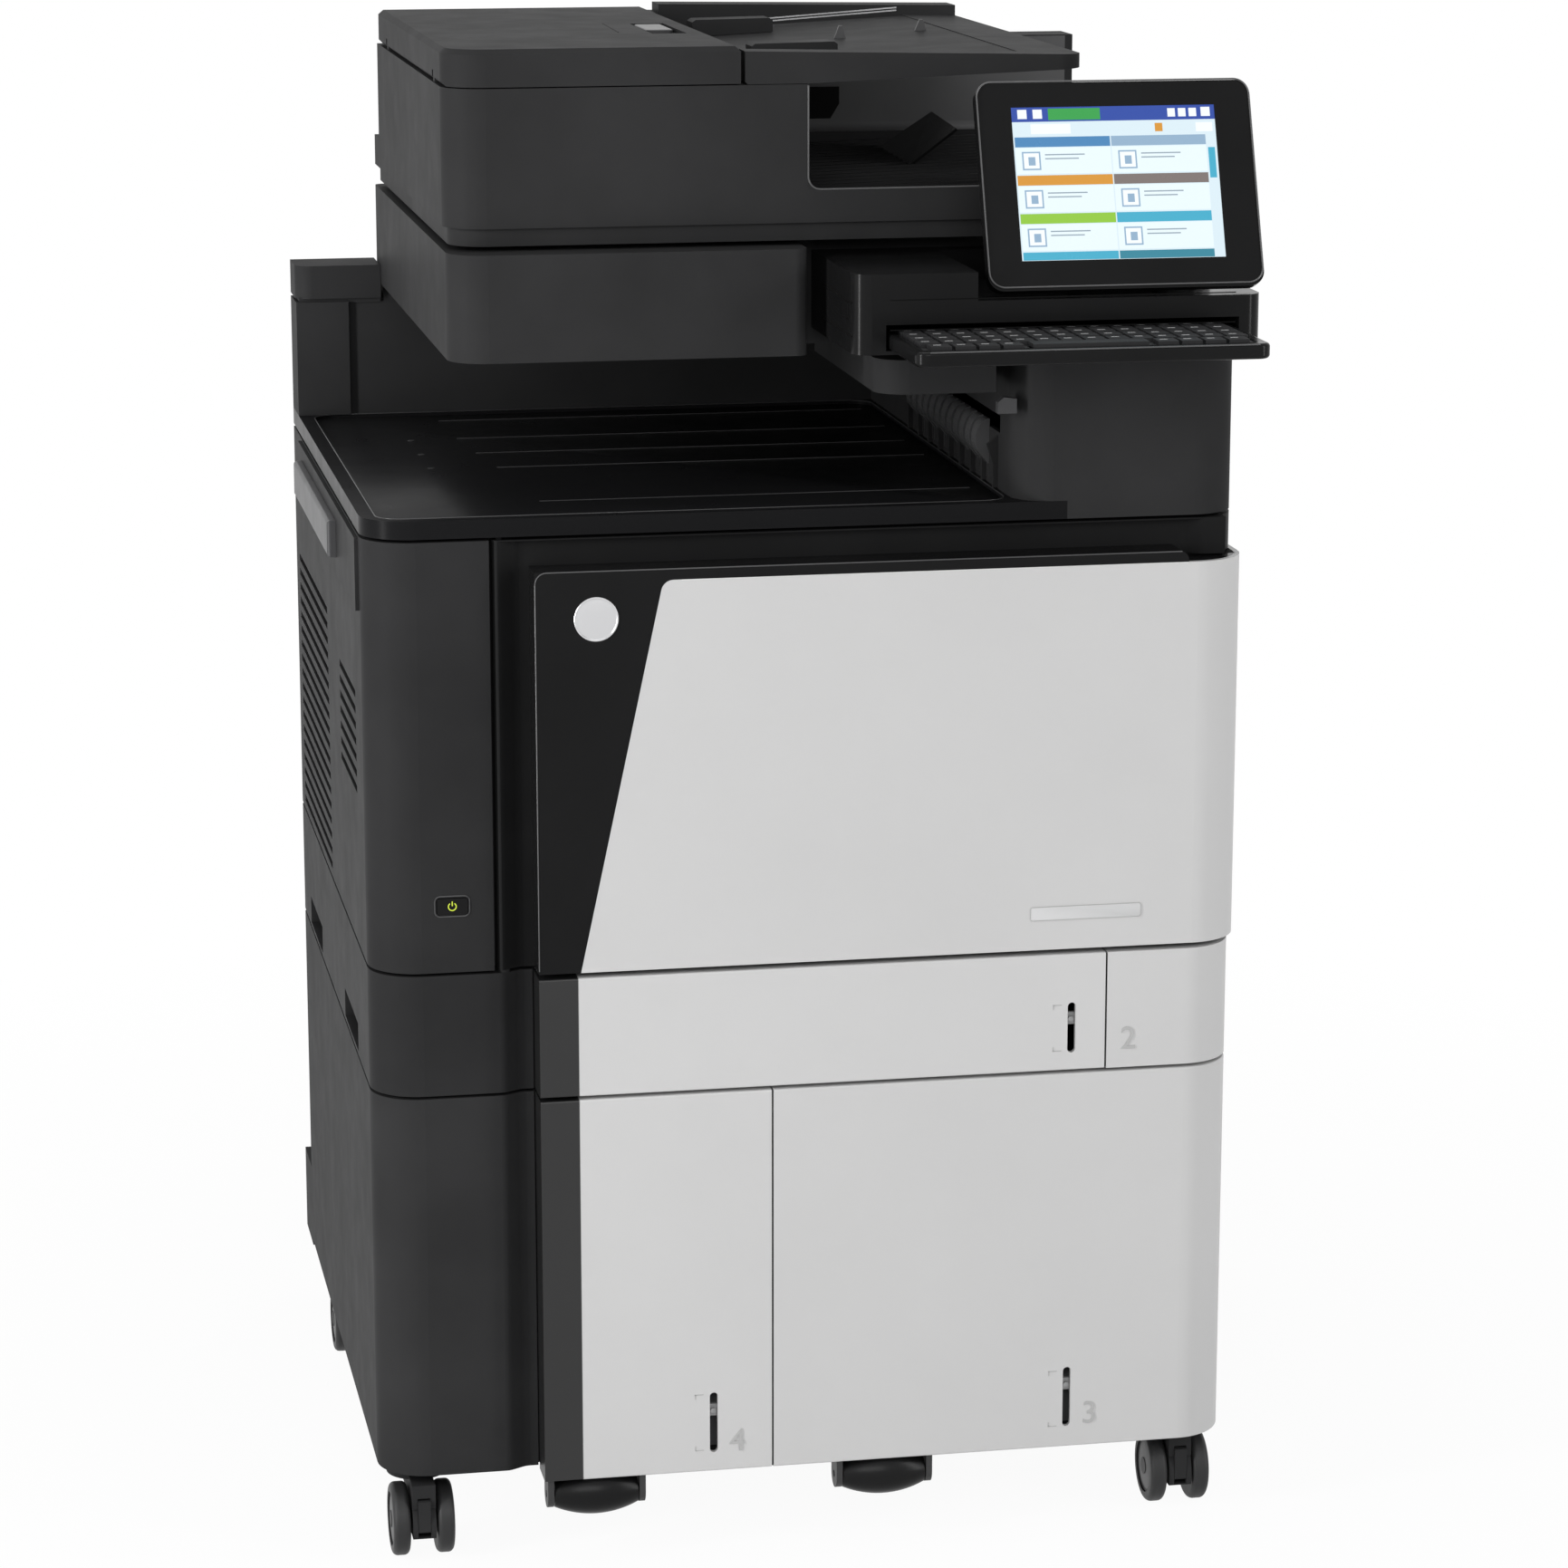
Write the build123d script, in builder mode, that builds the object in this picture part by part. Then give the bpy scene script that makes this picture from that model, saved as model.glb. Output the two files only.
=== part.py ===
"""Floor-standing colour photocopier: housings, trays, doors, document feeder and control panel."""
import os

from build123d import *

os.makedirs("parts", exist_ok=True)

# ---------------------------------------------------------------- driving dimensions (mm)
# Axes: +X to the machine's right as seen from its front, +Y to the back, +Z up, floor at Z = 0.
cabinet_width = 700
cabinet_depth = 615
corner_radius = 40
wall = 4
seam = 2.5
clearance = 0.3
running = 0.05

stand_bottom = 75
stand_height = 317
tray_unit_height = 98.5
engine_height = 344.5
shelf_thickness = 14.5
output_gap = 115
scanner_height = 84
feeder_lift = 4

column_width = 97
moat_flat = 7
moat_run = 14
moat_depth = 8
moat_width = 32
moat_round = 12
panel_proud = 24
door_wrap = 4
frame_set_back = 14
wrap_radius = 44
wrap_reach = 45
front_skin = 5

keyboard_reach = 160
keyboard_travel = 105
handle_proud = 10
spacer_depth = 62

# ---------------------------------------------------------------- planes and levels
left = -(cabinet_width + door_wrap + handle_proud) / 2 + handle_proud
right = left + cabinet_width
front = -(cabinet_depth + spacer_depth + keyboard_reach) / 2 + keyboard_reach
back = front + cabinet_depth

stand_top = stand_bottom + stand_height
unit_bottom = stand_top + seam
unit_top = unit_bottom + tray_unit_height
engine_bottom = unit_top + seam
engine_top = engine_bottom + engine_height
shelf_bottom = engine_top + seam
shelf_top = shelf_bottom + shelf_thickness
scanner_bottom = shelf_top + output_gap
scanner_top = scanner_bottom + scanner_height
feeder_bottom = scanner_top + feeder_lift

moat_start = left + column_width + moat_flat
moat_floor_start = moat_start + moat_run
moat_floor = front + moat_depth
panel_left = left + column_width + moat_width
panel_face = front - panel_proud
frame_face = front + frame_set_back
wrap_end = front + wrap_reach
step_x = right - front_skin - 3
step_y = wrap_end + seam


def block(x, y, z, mode=Mode.ADD):
    """A box between the low and high limits given for each axis."""
    with Locations(((x[0] + x[1]) / 2, (y[0] + y[1]) / 2, (z[0] + z[1]) / 2)):
        Box(x[1] - x[0], y[1] - y[0], z[1] - z[0], mode=mode)


def rod(axis, centre, radius, length, mode=Mode.ADD):
    """A round bar of the given length, centred on a point and lying along X, Y or Z."""
    turn = {"x": (0, 90, 0), "y": (90, 0, 0), "z": (0, 0, 0)}[axis]
    with Locations(Location(centre, turn)):
        Cylinder(radius, length, mode=mode)


def round_corner(sketch, x, y, radius):
    """Rounds the sketch's corner that lies nearest to the point."""
    fillet(sketch.vertices().sort_by_distance((x, y, 0))[0], radius)


def outline(*points):
    """Fills a closed outline of straight edges."""
    Polygon(*points, align=None)


def save(part, name):
    """Labels a finished piece and writes it to its own file."""
    part.label = name
    export_step(part, f"parts/{name}.step")


def column_plan(sketch):
    """Plan of a housing: round column corner, hollow beside it, frame face and stepped right wall."""
    outline((right, back), (left, back), (left, front), (moat_start, front),
            (moat_floor_start, moat_floor), (panel_left - 1, moat_floor), (panel_left - 1, frame_face),
            (step_x, frame_face), (step_x, step_y), (right, step_y))
    round_corner(sketch, left, front, corner_radius)
    round_corner(sketch, moat_start, front, moat_round)
    round_corner(sketch, moat_floor_start, moat_floor, moat_round)


def front_plan(sketch, x_start, x_end, y_rear, inset=0, side_proud=0):
    """Plan of a front panel or its inner face; past the right corner it wraps round to the side."""
    face = panel_face + inset
    if x_end < right:
        outline((x_start + inset, y_rear), (x_start + inset, face), (x_end - inset, face), (x_end - inset, y_rear))
    elif inset:
        side = right + side_proud - inset
        outline((x_start + inset, wrap_end + 1), (x_start + inset, face), (side, face), (side, wrap_end + 1))
        round_corner(sketch, side, face, wrap_radius - inset)
    else:
        side = right + side_proud
        outline((x_start, y_rear), (x_start, face), (side, face), (side, wrap_end),
                (side - front_skin, wrap_end), (side - front_skin, y_rear))
        round_corner(sketch, side, face, wrap_radius)


def prism_y(points, y, mode=Mode.ADD):
    """An outline in X and Z, drawn out along Y between the two limits."""
    with BuildSketch(Plane.XZ.offset(-y[0])) as profile:
        outline(*points)
    extrude(profile.sketch, amount=y[0] - y[1], mode=mode)


def prism_x(points, x, mode=Mode.ADD):
    """An outline in Y and Z, drawn out along X between the two limits."""
    with BuildSketch(Plane.YZ.offset(x[0])) as profile:
        outline(*points)
    extrude(profile.sketch, amount=x[1] - x[0], mode=mode)


def hollow_box(plan, low, high, floor, roof):
    """A box of the given plan with the outer wall's thickness round its sides."""
    with BuildSketch(Plane.XY.offset(low)) as outer:
        plan(outer)
    extrude(outer.sketch, amount=high - low)
    with BuildSketch(Plane.XY.offset(low + floor)) as inner:
        plan(inner)
        offset(amount=-wall, mode=Mode.REPLACE)
    extrude(inner.sketch, amount=high - low - floor - roof, mode=Mode.SUBTRACT)


def housing(plan, low, high):
    """Hollow level of the machine and, on top of it, the recessed seat that carries the next one."""
    hollow_box(plan, low, high, floor_thickness, wall)
    block((left + seat_inset, right - seat_inset), (step_y, back - seat_inset), (high, high + seam))


# ---------------------------------------------------------------- stand for trays 3 and 4
seat_inset = 5
floor_thickness = 5
rail_height = 4
rail_width = 12
divider_x = left + 316
divider_thickness = 3
tray_gap = 1.5
frame_rim = 6
frame_left = panel_left + 3
frame_right = step_x - wall - 1
spacer_width = 70
spacer_height = 76
spacer_drop = 5
caster_inset_x = 33.5
caster_inset_y = 52
caster_rear_inset = 70
stem_radius = 5.5
stem_length = 14
boss_radius = 15
boss_height = 20
caster_spots = {
    "front_left": (left + caster_inset_x, front + caster_inset_y),
    "front_right": (right - caster_inset_x, front + caster_inset_y),
    "rear_left": (left + caster_inset_x, back - caster_rear_inset),
    "rear_right": (right - caster_inset_x, back - caster_rear_inset),
}
stand_floor = stand_bottom + floor_thickness
rail_top = stand_floor + rail_height
unit_rail_top = unit_bottom + floor_thickness + rail_height
tray_4_rails = (left + 150, divider_x - 28)
tray_3_rails = (divider_x + 29, right - 90)

with BuildPart() as stand_shell:
    housing(column_plan, stand_bottom, stand_top)
    block((frame_left, frame_right), (front, frame_face + wall + 1),
          (stand_floor, stand_top - frame_rim), mode=Mode.SUBTRACT)
    for plate_x in (panel_left - 1 - wall, divider_x - divider_thickness / 2):
        block((plate_x, plate_x + divider_thickness), (frame_face + 1, back - wall / 2),
              (stand_bottom + 2, stand_top - 2))
    for rail_x in (*tray_4_rails, *tray_3_rails):
        block((rail_x, rail_x + rail_width), (front + 40, back - 30), (stand_floor - 1, rail_top))
    for spot in caster_spots.values():
        rod("z", (*spot, stand_bottom + boss_height / 2), boss_radius, boss_height)
    for spot in caster_spots.values():
        rod("z", (*spot, stand_bottom + stem_length / 2), stem_radius + running, stem_length + 1, Mode.SUBTRACT)
    for spacer_x in (left, right - spacer_width):
        block((spacer_x, spacer_x + spacer_width), (back - 1, back + spacer_depth),
              (stand_bottom - spacer_drop, stand_bottom - spacer_drop + spacer_height))
        block((spacer_x + wall, spacer_x + spacer_width - wall), (back + wall, back + spacer_depth + 1),
              (stand_bottom - spacer_drop + wall, stand_bottom - spacer_drop + spacer_height - wall),
              mode=Mode.SUBTRACT)
save(stand_shell.part, "stand_shell")

# ---------------------------------------------------------------- twin-wheel casters
wheel_radius = 30
wheel_width = 14
wheel_offset = 18
wheel_round = 4.5
hub_recess = 22
yoke_width = 19
yoke_radius = 28
swivel_radius = 25
swivel_low = 62
axle_radius = 4
trail = 25
brake_width = 10
brake_pin_radius = 1.5
brake_pin_height = 50
brake_pin_ahead = 20.5

for spot_name, (caster_x, caster_y) in caster_spots.items():
    axle_y = caster_y - trail
    has_brake = spot_name.startswith("front")
    with BuildPart() as caster_yoke:
        with BuildSketch(Plane.YZ.offset(caster_x - yoke_width / 2)):
            with Locations((axle_y, wheel_radius)):
                Circle(yoke_radius)
            with Locations(((axle_y + caster_y) / 2, swivel_low - 6)):
                Rectangle(trail + 2 * swivel_radius, 20)
            with Locations((axle_y, 0)):
                Rectangle(2 * yoke_radius, 42, mode=Mode.SUBTRACT)
        extrude(amount=yoke_width)
        with BuildSketch(Plane.XY.offset(swivel_low)):
            with Locations((caster_x, caster_y)):
                Circle(swivel_radius)
        extrude(amount=stand_bottom - clearance - swivel_low)
        rod("z", (caster_x, caster_y, stand_bottom), stem_radius, 2 * stem_length - 2)
        rod("x", (caster_x, axle_y, wheel_radius), axle_radius + running, yoke_width + 2, Mode.SUBTRACT)
        if has_brake:
            block((caster_x - brake_width / 2 - clearance, caster_x + brake_width / 2 + clearance),
                  (axle_y - yoke_radius - 1, axle_y - 17), (22, brake_pin_height + 5), mode=Mode.SUBTRACT)
            rod("x", (caster_x, axle_y - brake_pin_ahead, brake_pin_height), brake_pin_radius + running,
                yoke_width + 2, Mode.SUBTRACT)
    save(caster_yoke.part, f"caster_yoke_{spot_name}")

    with BuildPart() as caster_wheels:
        with BuildSketch(Plane.XZ.offset(-axle_y)) as wheel_section:
            for side in (-1, 1):
                with Locations((caster_x + side * wheel_offset, wheel_radius * 1.5)):
                    Rectangle(wheel_width, wheel_radius)
            with Locations((caster_x, wheel_radius + axle_radius / 2)):
                Rectangle(2 * wheel_offset, axle_radius)
            for side in (-1, 1):
                for edge in (-1, 1):
                    round_corner(wheel_section, caster_x + side * wheel_offset + edge * wheel_width / 2,
                                 2 * wheel_radius, wheel_round)
        revolve(axis=Axis((caster_x, axle_y, wheel_radius), (1, 0, 0)))
        for side in (-1, 1):
            rod("x", (caster_x + side * (wheel_offset + wheel_width / 2), axle_y, wheel_radius), hub_recess, 3,
                Mode.SUBTRACT)
            rod("x", (caster_x + side * (wheel_offset + wheel_width / 2 - 1), axle_y, wheel_radius), 7, 2)
    save(caster_wheels.part, f"caster_wheels_{spot_name}")

    if has_brake:
        with BuildPart() as caster_brake:
            block((caster_x - brake_width / 2, caster_x + brake_width / 2),
                  (axle_y - yoke_radius, axle_y - 18.5), (26, brake_pin_height + 3))
            rod("x", (caster_x, axle_y - brake_pin_ahead, brake_pin_height), brake_pin_radius, yoke_width - 1)
            fillet(caster_brake.edges().filter_by(Axis.X).group_by(Axis.Y)[0].group_by(Axis.Z)[0], 2)
        save(caster_brake.part, f"caster_brake_{spot_name}")

# ---------------------------------------------------------------- trays with their front panels
panel_drop = 3
front_rear = front + moat_depth
chassis_thickness = 4
bin_wall = 2.5
bin_front = front + 22
gauge_slot_width = 6.7
gauge_dot_radius = 2.2
ear_thickness = 5
ear_front = front - 19
roller_height = 56
roller_end_radius = 11
roller_middle_radius = 18.5
roller_length = 68
roller_pin_radius = 3
roller_front = front - 8

trays = {
    "tray_2": {"x": (panel_left, right - 111), "z": (unit_bottom + 0.5, unit_top - 1),
               "bin_x": (left + 140, right - 140), "bin_z": (unit_rail_top + clearance, unit_bottom + 80),
               "bin_back": back - 95,
               "slot": (right - 138.7, unit_bottom + 15, unit_bottom + 57), "dot": unit_bottom + 42.5},
    "tray_3": {"x": (divider_x + tray_gap / 2, right), "z": (stand_bottom - panel_drop, stand_top),
               "bin_x": (divider_x + 9, right - 50), "bin_z": (rail_top + clearance, stand_bottom + 265),
               "bin_back": back - 40, "roller_x": divider_x + 94,
               "slot": (right - 138.5, stand_bottom + 14.6, stand_bottom + 66), "dot": stand_bottom + 49.8},
    "tray_4": {"x": (panel_left, divider_x - tray_gap / 2), "z": (stand_bottom - panel_drop, stand_top),
               "bin_x": (left + 140, divider_x - 10), "bin_z": (rail_top + clearance, stand_bottom + 265),
               "bin_back": back - 40, "roller_x": left + 172,
               "slot": (divider_x - 48.6, stand_bottom + 13, stand_bottom + 64.3), "dot": stand_bottom + 47.7},
}

for tray, size in trays.items():
    (x_low, x_high), (z_low, z_high) = size["x"], size["z"]
    slot_x, slot_low, slot_high = size["slot"]
    with BuildPart() as tray_front:
        with BuildSketch(Plane.XY.offset(z_low)) as front_outline:
            front_plan(front_outline, x_low, x_high, front_rear)
        extrude(amount=z_high - z_low)
        fillet(tray_front.faces().filter_by(Axis.Y).sort_by(Axis.Y)[0].edges().filter_by(Axis.X), 1.5)
        with BuildSketch(Plane.XY.offset(z_low + front_skin)) as front_hollow:
            front_plan(front_hollow, x_low, x_high, front_rear + 1, inset=front_skin)
        extrude(amount=z_high - z_low - 2 * front_skin, mode=Mode.SUBTRACT)
        with BuildSketch(Plane.XZ.offset(-panel_face)):
            with Locations((slot_x, (slot_low + slot_high) / 2)):
                SlotOverall(slot_high - slot_low, gauge_slot_width, rotation=90)
        extrude(amount=-front_skin - 1, mode=Mode.SUBTRACT)
        if "roller_x" in size:
            block((size["roller_x"] - roller_length / 2 - 1, size["roller_x"] + roller_length / 2 + 1),
                  (roller_front - 12, roller_front + 12), (z_low - 1, z_low + front_skin + 1), Mode.SUBTRACT)
    save(tray_front.part, f"{tray}_front")

    bin_low, bin_high = size["bin_z"]
    bin_left, bin_right = size["bin_x"]
    with BuildPart() as tray_bin:
        block((bin_left, bin_right), (front_rear, front_rear + chassis_thickness),
              (z_low + 1, z_high - 1))
        block((bin_left, bin_right), (front_rear, size["bin_back"]), (bin_low, bin_high))
        block((bin_left + bin_wall, bin_right - bin_wall), (bin_front, size["bin_back"] - bin_wall),
              (bin_low + bin_wall, bin_high + 1), mode=Mode.SUBTRACT)
        if "roller_x" in size:
            ear_low, ear_high = roller_height - roller_end_radius + 1, z_low
            for side in (-1, 1):
                ear_x = size["roller_x"] + side * (roller_length / 2 + 1 + ear_thickness / 2)
                with BuildSketch(Plane.YZ.offset(ear_x - ear_thickness / 2)):
                    with Locations((roller_front, roller_height)):
                        Circle(roller_end_radius)
                    with Locations((roller_front, (roller_height + ear_high) / 2)):
                        Rectangle(2 * roller_end_radius, ear_high - roller_height)
                extrude(amount=ear_thickness)
            block((size["roller_x"] - roller_length / 2 - 1 - ear_thickness,
                   size["roller_x"] + roller_length / 2 + 1 + ear_thickness),
                  (front_rear, front_rear + chassis_thickness), (ear_high - 6, z_low + front_skin + 2))
            for side in (-1, 1):
                ear_x = size["roller_x"] + side * (roller_length / 2 + 1 + ear_thickness / 2)
                block((ear_x - ear_thickness / 2, ear_x + ear_thickness / 2),
                      (roller_front, front_rear + chassis_thickness), (ear_high - 6, ear_high - clearance))
                rod("x", (ear_x, roller_front, roller_height), roller_pin_radius + running, ear_thickness + 1,
                    Mode.SUBTRACT)
    save(tray_bin.part, f"{tray}_bin")

    if "roller_x" in size:
        with BuildPart() as support_roller:
            with BuildSketch(Plane.XZ.offset(-roller_front)):
                with BuildLine():
                    half = roller_length / 2
                    mid = size["roller_x"]
                    ThreePointArc((mid - half, roller_height + roller_end_radius),
                                  (mid, roller_height + roller_middle_radius),
                                  (mid + half, roller_height + roller_end_radius))
                    Polyline((mid + half, roller_height + roller_end_radius),
                             (mid + half, roller_height + roller_pin_radius),
                             (mid + half + ear_thickness, roller_height + roller_pin_radius),
                             (mid + half + ear_thickness, roller_height),
                             (mid - half - ear_thickness, roller_height),
                             (mid - half - ear_thickness, roller_height + roller_pin_radius),
                             (mid - half, roller_height + roller_pin_radius),
                             (mid - half, roller_height + roller_end_radius))
                make_face()
            revolve(axis=Axis((mid, roller_front, roller_height), (1, 0, 0)))
        save(support_roller.part, f"{tray}_roller")

    with BuildPart() as tray_gauge:
        block((slot_x - 5, slot_x + 5), (panel_face + front_skin + clearance, panel_face + front_skin + 4),
              (size["dot"] - 5, size["dot"] + 5))
        rod("y", (slot_x, panel_face + front_skin - 0.5, size["dot"]), gauge_dot_radius, 4)
    save(tray_gauge.part, f"{tray}_gauge")

# ---------------------------------------------------------------- tray 2 unit and its corner cover
hinge_round = 6
door_corner = 38
door_left = left + column_width + seam
hinge_x = door_left + hinge_round
hinge_y = front + hinge_round
hinge_pin = 2.5
pin_depth = 12
collar_radius = 4.5
tray_2_rails = (left + 180, right - 200)
grip_length = 110
grip_depth = 20
grips = (front + 127, back - 175)
grip_z = (unit_bottom + 3, unit_bottom + 27)

with BuildPart() as tray_unit_shell:
    housing(column_plan, unit_bottom, unit_top)
    block((frame_left, frame_right), (front, frame_face + wall + 1),
          (unit_bottom + floor_thickness, unit_top - frame_rim), Mode.SUBTRACT)
    for rail_x in tray_2_rails:
        block((rail_x, rail_x + rail_width), (front + 40, back - 30), (unit_rail_top - rail_height - 1, unit_rail_top))
    for grip_y in grips:
        block((left + 1, left + grip_depth + 3), (grip_y - 3, grip_y + grip_length + 3), (grip_z[0] - 1, grip_z[1] + 3))
        block((left - 1, left + grip_depth), (grip_y, grip_y + grip_length), grip_z, Mode.SUBTRACT)
    rod("z", (hinge_x, hinge_y, engine_bottom + pin_depth / 2 - 3), hinge_pin, pin_depth + 6)
    rod("z", (hinge_x, hinge_y, unit_top), collar_radius, 2 * (seam - clearance))
save(tray_unit_shell.part, "tray_unit_shell")

corner_left = right - 109.4
with BuildPart() as corner_cover:
    with BuildSketch(Plane.XY.offset(unit_bottom + 0.5)) as corner_outline:
        front_plan(corner_outline, corner_left, right, frame_face)
    extrude(amount=tray_unit_height - 1.5)
    with BuildSketch(Plane.XY.offset(unit_bottom + 0.5 + front_skin)) as corner_hollow:
        front_plan(corner_hollow, corner_left, right, frame_face, inset=front_skin)
    extrude(amount=tray_unit_height - 1.5 - 2 * front_skin, mode=Mode.SUBTRACT)
save(corner_cover.part, "corner_cover")

# ---------------------------------------------------------------- engine housing
louvre_pitch = 13
louvre_gap = 6
button_x = (left + 52, left + 76)
button_z = (engine_bottom + 47.5, engine_bottom + 60.5)
raised = 3
handle_y = (front + 200, back - 105)
handle_z = (engine_top - 45, engine_top - 15)
handle_depth = 50
side_y = (front + 140, back - 50)
side_z = (engine_bottom + 18, engine_top - 18)
side_round = 10
side_gap = 1
side_axis_x = right + door_wrap - side_round
side_axis_y = side_y[1] - side_gap - side_round
mouth_x = (left + 130, step_x - door_corner)
mouth_z = (engine_bottom + 14, engine_top - 14)
mouth_rear = frame_face + wall


def engine_plan(sketch):
    """Plan of the engine housing: column at the left, set back behind the front door."""
    outline((right, back), (left, back), (left, front), (left + column_width, front),
            (left + column_width, frame_face), (step_x, frame_face), (step_x, step_y), (right, step_y))
    round_corner(sketch, left, front, corner_radius)
    round_corner(sketch, step_x, frame_face, door_corner - front_skin - 1)


with BuildPart() as engine_shell:
    housing(engine_plan, engine_bottom, engine_top)
    block(mouth_x, (front, mouth_rear + 1), mouth_z, Mode.SUBTRACT)
    for (y_low, y_high), (z_low, rows) in (((front + 325, back - 30), (engine_bottom + 10, 18)),
                                           ((front + 92, front + 222), (engine_bottom + 130, 7))):
        with Locations((left, (y_low + y_high) / 2, z_low + (rows - 1) * louvre_pitch / 2)):
            with Locations(*[(0, 0, (row - (rows - 1) / 2) * louvre_pitch) for row in range(rows)]):
                Box(3 * wall, y_high - y_low, louvre_gap, mode=Mode.SUBTRACT)
    block((left - raised, left + 1), (front + 45, back - 75), (engine_top - 60, engine_top - 2))
    block((left + 1, left + handle_depth + wall + 3), (handle_y[0] - wall, handle_y[1] + wall),
          (handle_z[0] - wall, handle_z[1] + wall))
    block((left - raised - 1, left + handle_depth + 3), (handle_y[0] - clearance, handle_y[1] + clearance),
          (handle_z[0] - clearance, handle_z[1] + clearance), Mode.SUBTRACT)
    block((button_x[0] - 0.4, button_x[1] + 0.4), (front - 1, front + wall + 1), (button_z[0] - 0.4, button_z[1] + 0.4),
          Mode.SUBTRACT)
    block((right - 2 * wall, right + 1), side_y, side_z, Mode.SUBTRACT)
    for z_edge in (side_z[0] - 4, side_z[1] + 4):
        block((side_axis_x - 8, right), (side_axis_y - 8, side_axis_y + 8), (z_edge - 4, z_edge + 4))
        rod("z", (side_axis_x, side_axis_y, z_edge), hinge_pin, 2 * (4 + 10))
save(engine_shell.part, "engine_shell")

with BuildPart() as power_button:
    block(button_x, (front - 1, front + wall + 3), button_z)
    block((button_x[0] - 3, button_x[1] + 3), (front + wall + clearance, front + wall + 3),
          (button_z[0] - 3, button_z[1] + 3))
save(power_button.part, "power_button")

with BuildPart() as carry_handle:
    block((left - handle_proud, left + handle_depth), handle_y, handle_z)
    fillet(carry_handle.faces().sort_by(Axis.X)[0].edges(), 3)
    block((left - handle_proud + 12, left + handle_depth - 6), (handle_y[0] + 8, handle_y[1] - 8),
          (handle_z[0] + 8, handle_z[1] + 1), Mode.SUBTRACT)
save(carry_handle.part, "carry_handle")

inlet_x = left + 110
inlet_z = engine_bottom + 45
with BuildPart() as rear_cover:
    block((left + 30, right - 30), (back, back + wall), (engine_bottom + 15, engine_top - 15))
    fillet(rear_cover.edges().filter_by(Axis.Y), 8)
    with Locations(*[(right - 120, back + wall, engine_top - 70 - row * louvre_pitch) for row in range(8)]):
        Box(120, 2 * wall + 2, louvre_gap, mode=Mode.SUBTRACT)
    block((inlet_x - 16, inlet_x + 16), (back, back + wall + 10), (inlet_z - 12, inlet_z + 12))
    block((inlet_x - 13, inlet_x + 13), (back + 2, back + wall + 11), (inlet_z - 9, inlet_z + 9), Mode.SUBTRACT)
    for pin_x, pin_z in ((-7, -2), (0, 3), (7, -2)):
        block((inlet_x + pin_x - 1, inlet_x + pin_x + 1), (back + 1, back + wall + 8),
              (inlet_z + pin_z - 2, inlet_z + pin_z + 2))
save(rear_cover.part, "rear_cover")

# ---------------------------------------------------------------- behind the front door
fuser_x = (right - 220, right - 110)
toner_left = left + 160
toner_pitch = (fuser_x[0] - toner_left) / 4 - 8
toner_width = toner_pitch - 12
toner_height = 74
deck_z = engine_bottom + 0.58 * engine_height
deck_thickness = 4
box_x = (left + 170, left + 330)
box_height = 100
imaging_x = (left + 150, right - 130)
cover_margin = 8

with BuildPart() as inner_cover:
    block((mouth_x[0] - cover_margin, mouth_x[1] - 2), (mouth_rear, mouth_rear + 3),
          (mouth_z[0] - cover_margin + 2, mouth_z[1] + cover_margin - 2))
    block((mouth_x[0], mouth_x[1] - 22), (mouth_rear, back - wall), (deck_z - deck_thickness, deck_z))
    for slot in range(4):
        block((toner_left + slot * toner_pitch - 1, toner_left + slot * toner_pitch + toner_width + 1),
              (mouth_rear - 1, mouth_rear + 4), (deck_z, deck_z + toner_height + 1), Mode.SUBTRACT)
    block((box_x[0] - 1, box_x[1] + 1), (mouth_rear - 1, mouth_rear + 4),
          (mouth_z[0] - 20, engine_bottom + floor_thickness + box_height + 1), Mode.SUBTRACT)
    block((fuser_x[0] - 1, fuser_x[1] + 1), (mouth_rear - 1, mouth_rear + 4), (deck_z, deck_z + 96), Mode.SUBTRACT)
save(inner_cover.part, "inner_cover")

for slot, colour in enumerate(("yellow", "magenta", "cyan", "black")):
    toner_x = toner_left + slot * toner_pitch
    with BuildPart() as toner:
        block((toner_x, toner_x + toner_width), (mouth_rear - 1, back - 175), (deck_z, deck_z + toner_height))
        fillet(toner.edges().filter_by(Axis.Y).group_by(Axis.Z)[-1], 14)
        block((toner_x + 18, toner_x + toner_width - 18), (mouth_rear - 4, mouth_rear), (deck_z + 14, deck_z + 50))
        fillet(toner.faces().sort_by(Axis.Y)[0].edges(), 1.5)
    save(toner.part, f"toner_{colour}")

with BuildPart() as collection_box:
    box_z = engine_bottom + floor_thickness
    block(box_x, (mouth_rear, front + 220), (box_z, box_z + box_height))
    fillet(collection_box.edges().filter_by(Axis.Z).group_by(Axis.Y)[0], 6)
    block((box_x[0] + 55, box_x[1] - 55), (mouth_rear - 1, mouth_rear + 12), (box_z + 60, box_z + 80), Mode.SUBTRACT)
save(collection_box.part, "collection_box")

with BuildPart() as imaging_unit:
    block(imaging_x, (mouth_rear + 6, back - 145), (deck_z - deck_thickness - 60, deck_z - deck_thickness))
    fillet(imaging_unit.edges().filter_by(Axis.Y).group_by(Axis.Z)[0], 12)
save(imaging_unit.part, "imaging_unit")

with BuildPart() as fuser_unit:
    block(fuser_x, (mouth_rear + 1, back - 135), (deck_z, deck_z + 95))
    fillet(fuser_unit.edges().filter_by(Axis.Y).group_by(Axis.Z)[-1], 10)
    rod("y", (fuser_x[0] + 30, mouth_rear + 8, deck_z + 60), 14, 16)
save(fuser_unit.part, "fuser_unit")

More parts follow.
